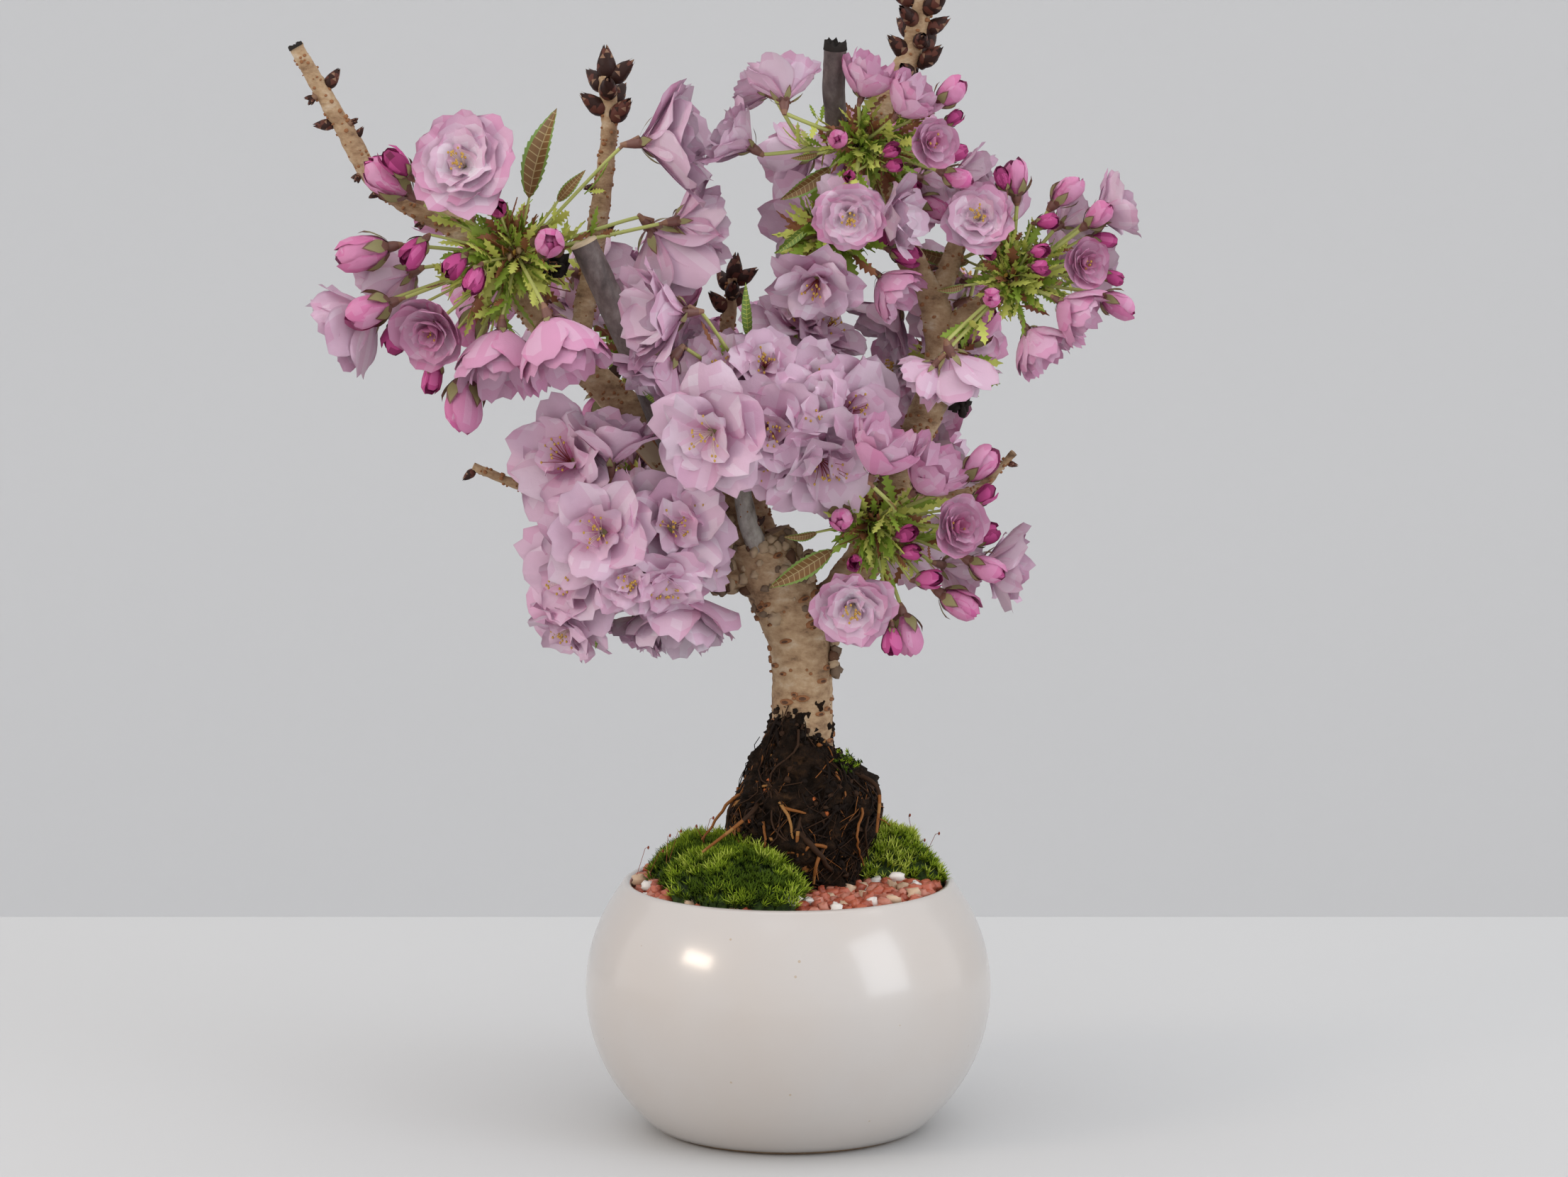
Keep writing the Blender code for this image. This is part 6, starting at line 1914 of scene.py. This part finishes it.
def build_stage(settings):
    """A pale table with a pale wall some way behind it, soft light all round, and the camera."""
    scene = bpy.context.scene
    table, _ = principled("table top", settings.table, 0.55)
    wall, _ = principled("wall paint", settings.wall, 0.9)
    edge = settings.table_edge
    for name, corners, look in (
        ("table", [(-3, -3, 0), (3, -3, 0), (3, edge, 0), (-3, edge, 0), (-3, edge + 0.012, -0.006),
                   (3, edge + 0.012, -0.006), (3, edge + 0.014, -0.04), (-3, edge + 0.014, -0.04)],
         table), ("wall", [(-6, 2.8, -2.5), (6, 2.8, -2.5), (6, 2.8, 5), (-6, 2.8, 5)], wall),
        ("floor", [(-6, -6, -0.75), (6, -6, -0.75), (6, 2.8, -0.75), (-6, 2.8, -0.75)], wall),):
        mesh = bpy.data.meshes.new(name)
        faces = [(0, 1, 2, 3)]
        if name == "table":
            faces += [(3, 2, 5, 4), (4, 5, 6, 7)]
        mesh.from_pydata(corners, [], faces)
        mesh.materials.append(look)
        add_object(name, mesh)
    world = bpy.data.worlds.new("studio")
    world.use_nodes = True
    background = world.node_tree.nodes["Background"]
    set_inputs(background, Color=(0.98, 0.985, 1.0, 1))
    dim_front(world.node_tree, background, settings.ambient)
    scene.world = world
    for name, place, size, power, colour in (
        ("warm key", (-1.35, -0.85, 0.85), (0.54, 0.24), settings.key, (1.0, 0.84, 0.69)),
        ("cool window", (1.55, -0.95, 0.85), (0.95, 1.25), settings.window, (0.9, 0.95, 1.0)),
        ("soft top", (0.1, -0.3, 1.9), (1.6, 1.6), settings.top, (1.0, 0.99, 0.98)),):
        light = bpy.data.lights.new(name, "AREA")
        light.shape = "RECTANGLE"
        light.size, light.size_y = size
        light.energy = power
        light.color = colour
        lamp = add_object(name, light)
        lamp.location = place
        lamp.rotation_euler = (LAMP_TARGET - Vector(place)).to_track_quat("-Z", "Y").to_euler()
    lens = bpy.data.cameras.new("camera")
    lens.lens, lens.sensor_width = CAMERA_LENS, 36
    camera = add_object("camera", lens)
    camera.location = CAMERA_PLACE
    camera.rotation_euler = (radians(CAMERA_TILT), 0, 0)
    scene.camera = camera
    scene.view_settings.view_transform = "Standard"


# ---- settings and steps


def colour_setting(name, description, default):
    return FloatVectorProperty(name=name, description=description, subtype="COLOR", min=0, max=1,
                               default=default)


def light_setting(name, description, default):
    return FloatProperty(name=name, description=description, default=default, min=0)


class PotSettings(bpy.types.PropertyGroup):
    glaze: colour_setting("Glaze", "Colour of the glaze", (0.535, 0.498, 0.472))
    gloss: FloatProperty(name="Roughness", description="How soft the glaze's gloss is",
                         default=0.3, min=0, max=1, subtype="FACTOR")
    lip: FloatProperty(name="Lip", description="Thickness of the rolled lip", default=0.0032,
                       unit="LENGTH")
    segments: IntProperty(name="Segments", description="Faces round the pot", default=112)


class CrownSettings(bpy.types.PropertyGroup):
    tone: FloatProperty(name="Tone", description="Deepens the petals' tints, in steps of the list",
                        default=0.0, min=-2, max=2)


class StageSettings(bpy.types.PropertyGroup):
    table: colour_setting("Table", "Colour of the table", (0.6, 0.6, 0.6))
    wall: colour_setting("Wall", "Colour of the wall", (0.66, 0.66, 0.664))
    table_edge: FloatProperty(name="Table edge", description="How far the table reaches back",
                              default=0.338, unit="LENGTH")
    ambient: light_setting("Ambient", "Strength of the light all round", 1.08)
    key: light_setting("Key", "Power of the warm lamp at the left, in watts", 4.9)
    window: light_setting("Window", "Power of the cool light at the right, in watts", 8.0)
    top: light_setting("Top", "Power of the broad light above, in watts", 3.0)


class BONSAI_OT_pot(bpy.types.Operator):
    """Turns the glazed pot and finishes the soil in it"""

    bl_idname = "bonsai.pot"
    bl_label = "Pot and soil"

    def execute(self, context):
        build_pot(context.scene.bonsai_pot)
        dress_soil()
        return {"FINISHED"}


class BONSAI_OT_limbs(bpy.types.Operator):
    """Skins the trunk and boughs with bark, lenticels and winter buds"""

    bl_idname = "bonsai.limbs"
    bl_label = "Trunk and boughs"

    def execute(self, context):
        build_limbs()
        return {"FINISHED"}


class BONSAI_OT_roots(bpy.types.Operator):
    """Wraps the raised root mass in earth and fibres"""

    bl_idname = "bonsai.roots"
    bl_label = "Roots"

    def execute(self, context):
        build_roots()
        return {"FINISHED"}


class BONSAI_OT_moss(bpy.types.Operator):
    """Grows the two cushions of moss"""

    bl_idname = "bonsai.moss"
    bl_label = "Moss"

    def execute(self, context):
        build_moss()
        return {"FINISHED"}


class BONSAI_OT_gravel(bpy.types.Operator):
    """Lays the gravel in the open ground"""

    bl_idname = "bonsai.gravel"
    bl_label = "Gravel"

    def execute(self, context):
        build_gravel()
        return {"FINISHED"}


class BONSAI_OT_crown(bpy.types.Operator):
    """Grows every bloom, bud and young leaf on the boughs"""

    bl_idname = "bonsai.crown"
    bl_label = "Blossom"

    def execute(self, context):
        build_crown(context.scene.bonsai_crown)
        return {"FINISHED"}


class BONSAI_OT_stage(bpy.types.Operator):
    """Sets up the table, the wall, the light and the camera"""

    bl_idname = "bonsai.stage"
    bl_label = "Stage"

    def execute(self, context):
        build_stage(context.scene.bonsai_stage)
        return {"FINISHED"}


STEPS = ("bonsai.stage", "bonsai.pot", "bonsai.limbs", "bonsai.roots", "bonsai.moss",
         "bonsai.gravel", "bonsai.crown")


class BONSAI_PT_steps(bpy.types.Panel):
    """Lists the bonsai's settings and steps"""

    bl_idname = "BONSAI_PT_steps"
    bl_label = "Cherry bonsai"
    bl_space_type = "VIEW_3D"
    bl_region_type = "UI"
    bl_category = "Bonsai"

    def draw(self, context):
        scene = context.scene
        for group in (scene.bonsai_pot, scene.bonsai_crown, scene.bonsai_stage):
            box = self.layout.box()
            for name in group.__annotations__:
                box.prop(group, name)
        for step in STEPS:
            self.layout.operator(step)


CLASSES = (PotSettings, CrownSettings, StageSettings, BONSAI_OT_pot, BONSAI_OT_limbs,
           BONSAI_OT_roots, BONSAI_OT_moss, BONSAI_OT_gravel, BONSAI_OT_crown, BONSAI_OT_stage,
           BONSAI_PT_steps)


def register():
    for cls in CLASSES:
        bpy.utils.register_class(cls)
    bpy.types.Scene.bonsai_pot = PointerProperty(type=PotSettings)
    bpy.types.Scene.bonsai_crown = PointerProperty(type=CrownSettings)
    bpy.types.Scene.bonsai_stage = PointerProperty(type=StageSettings)


def unregister():
    for name in ("bonsai_pot", "bonsai_crown", "bonsai_stage"):
        delattr(bpy.types.Scene, name)
    for cls in reversed(CLASSES):
        bpy.utils.unregister_class(cls)


def main():
    register()
    for step in STEPS:
        group, name = step.split(".")
        getattr(getattr(bpy.ops, group), name)()


if __name__ == "__main__":
    main()
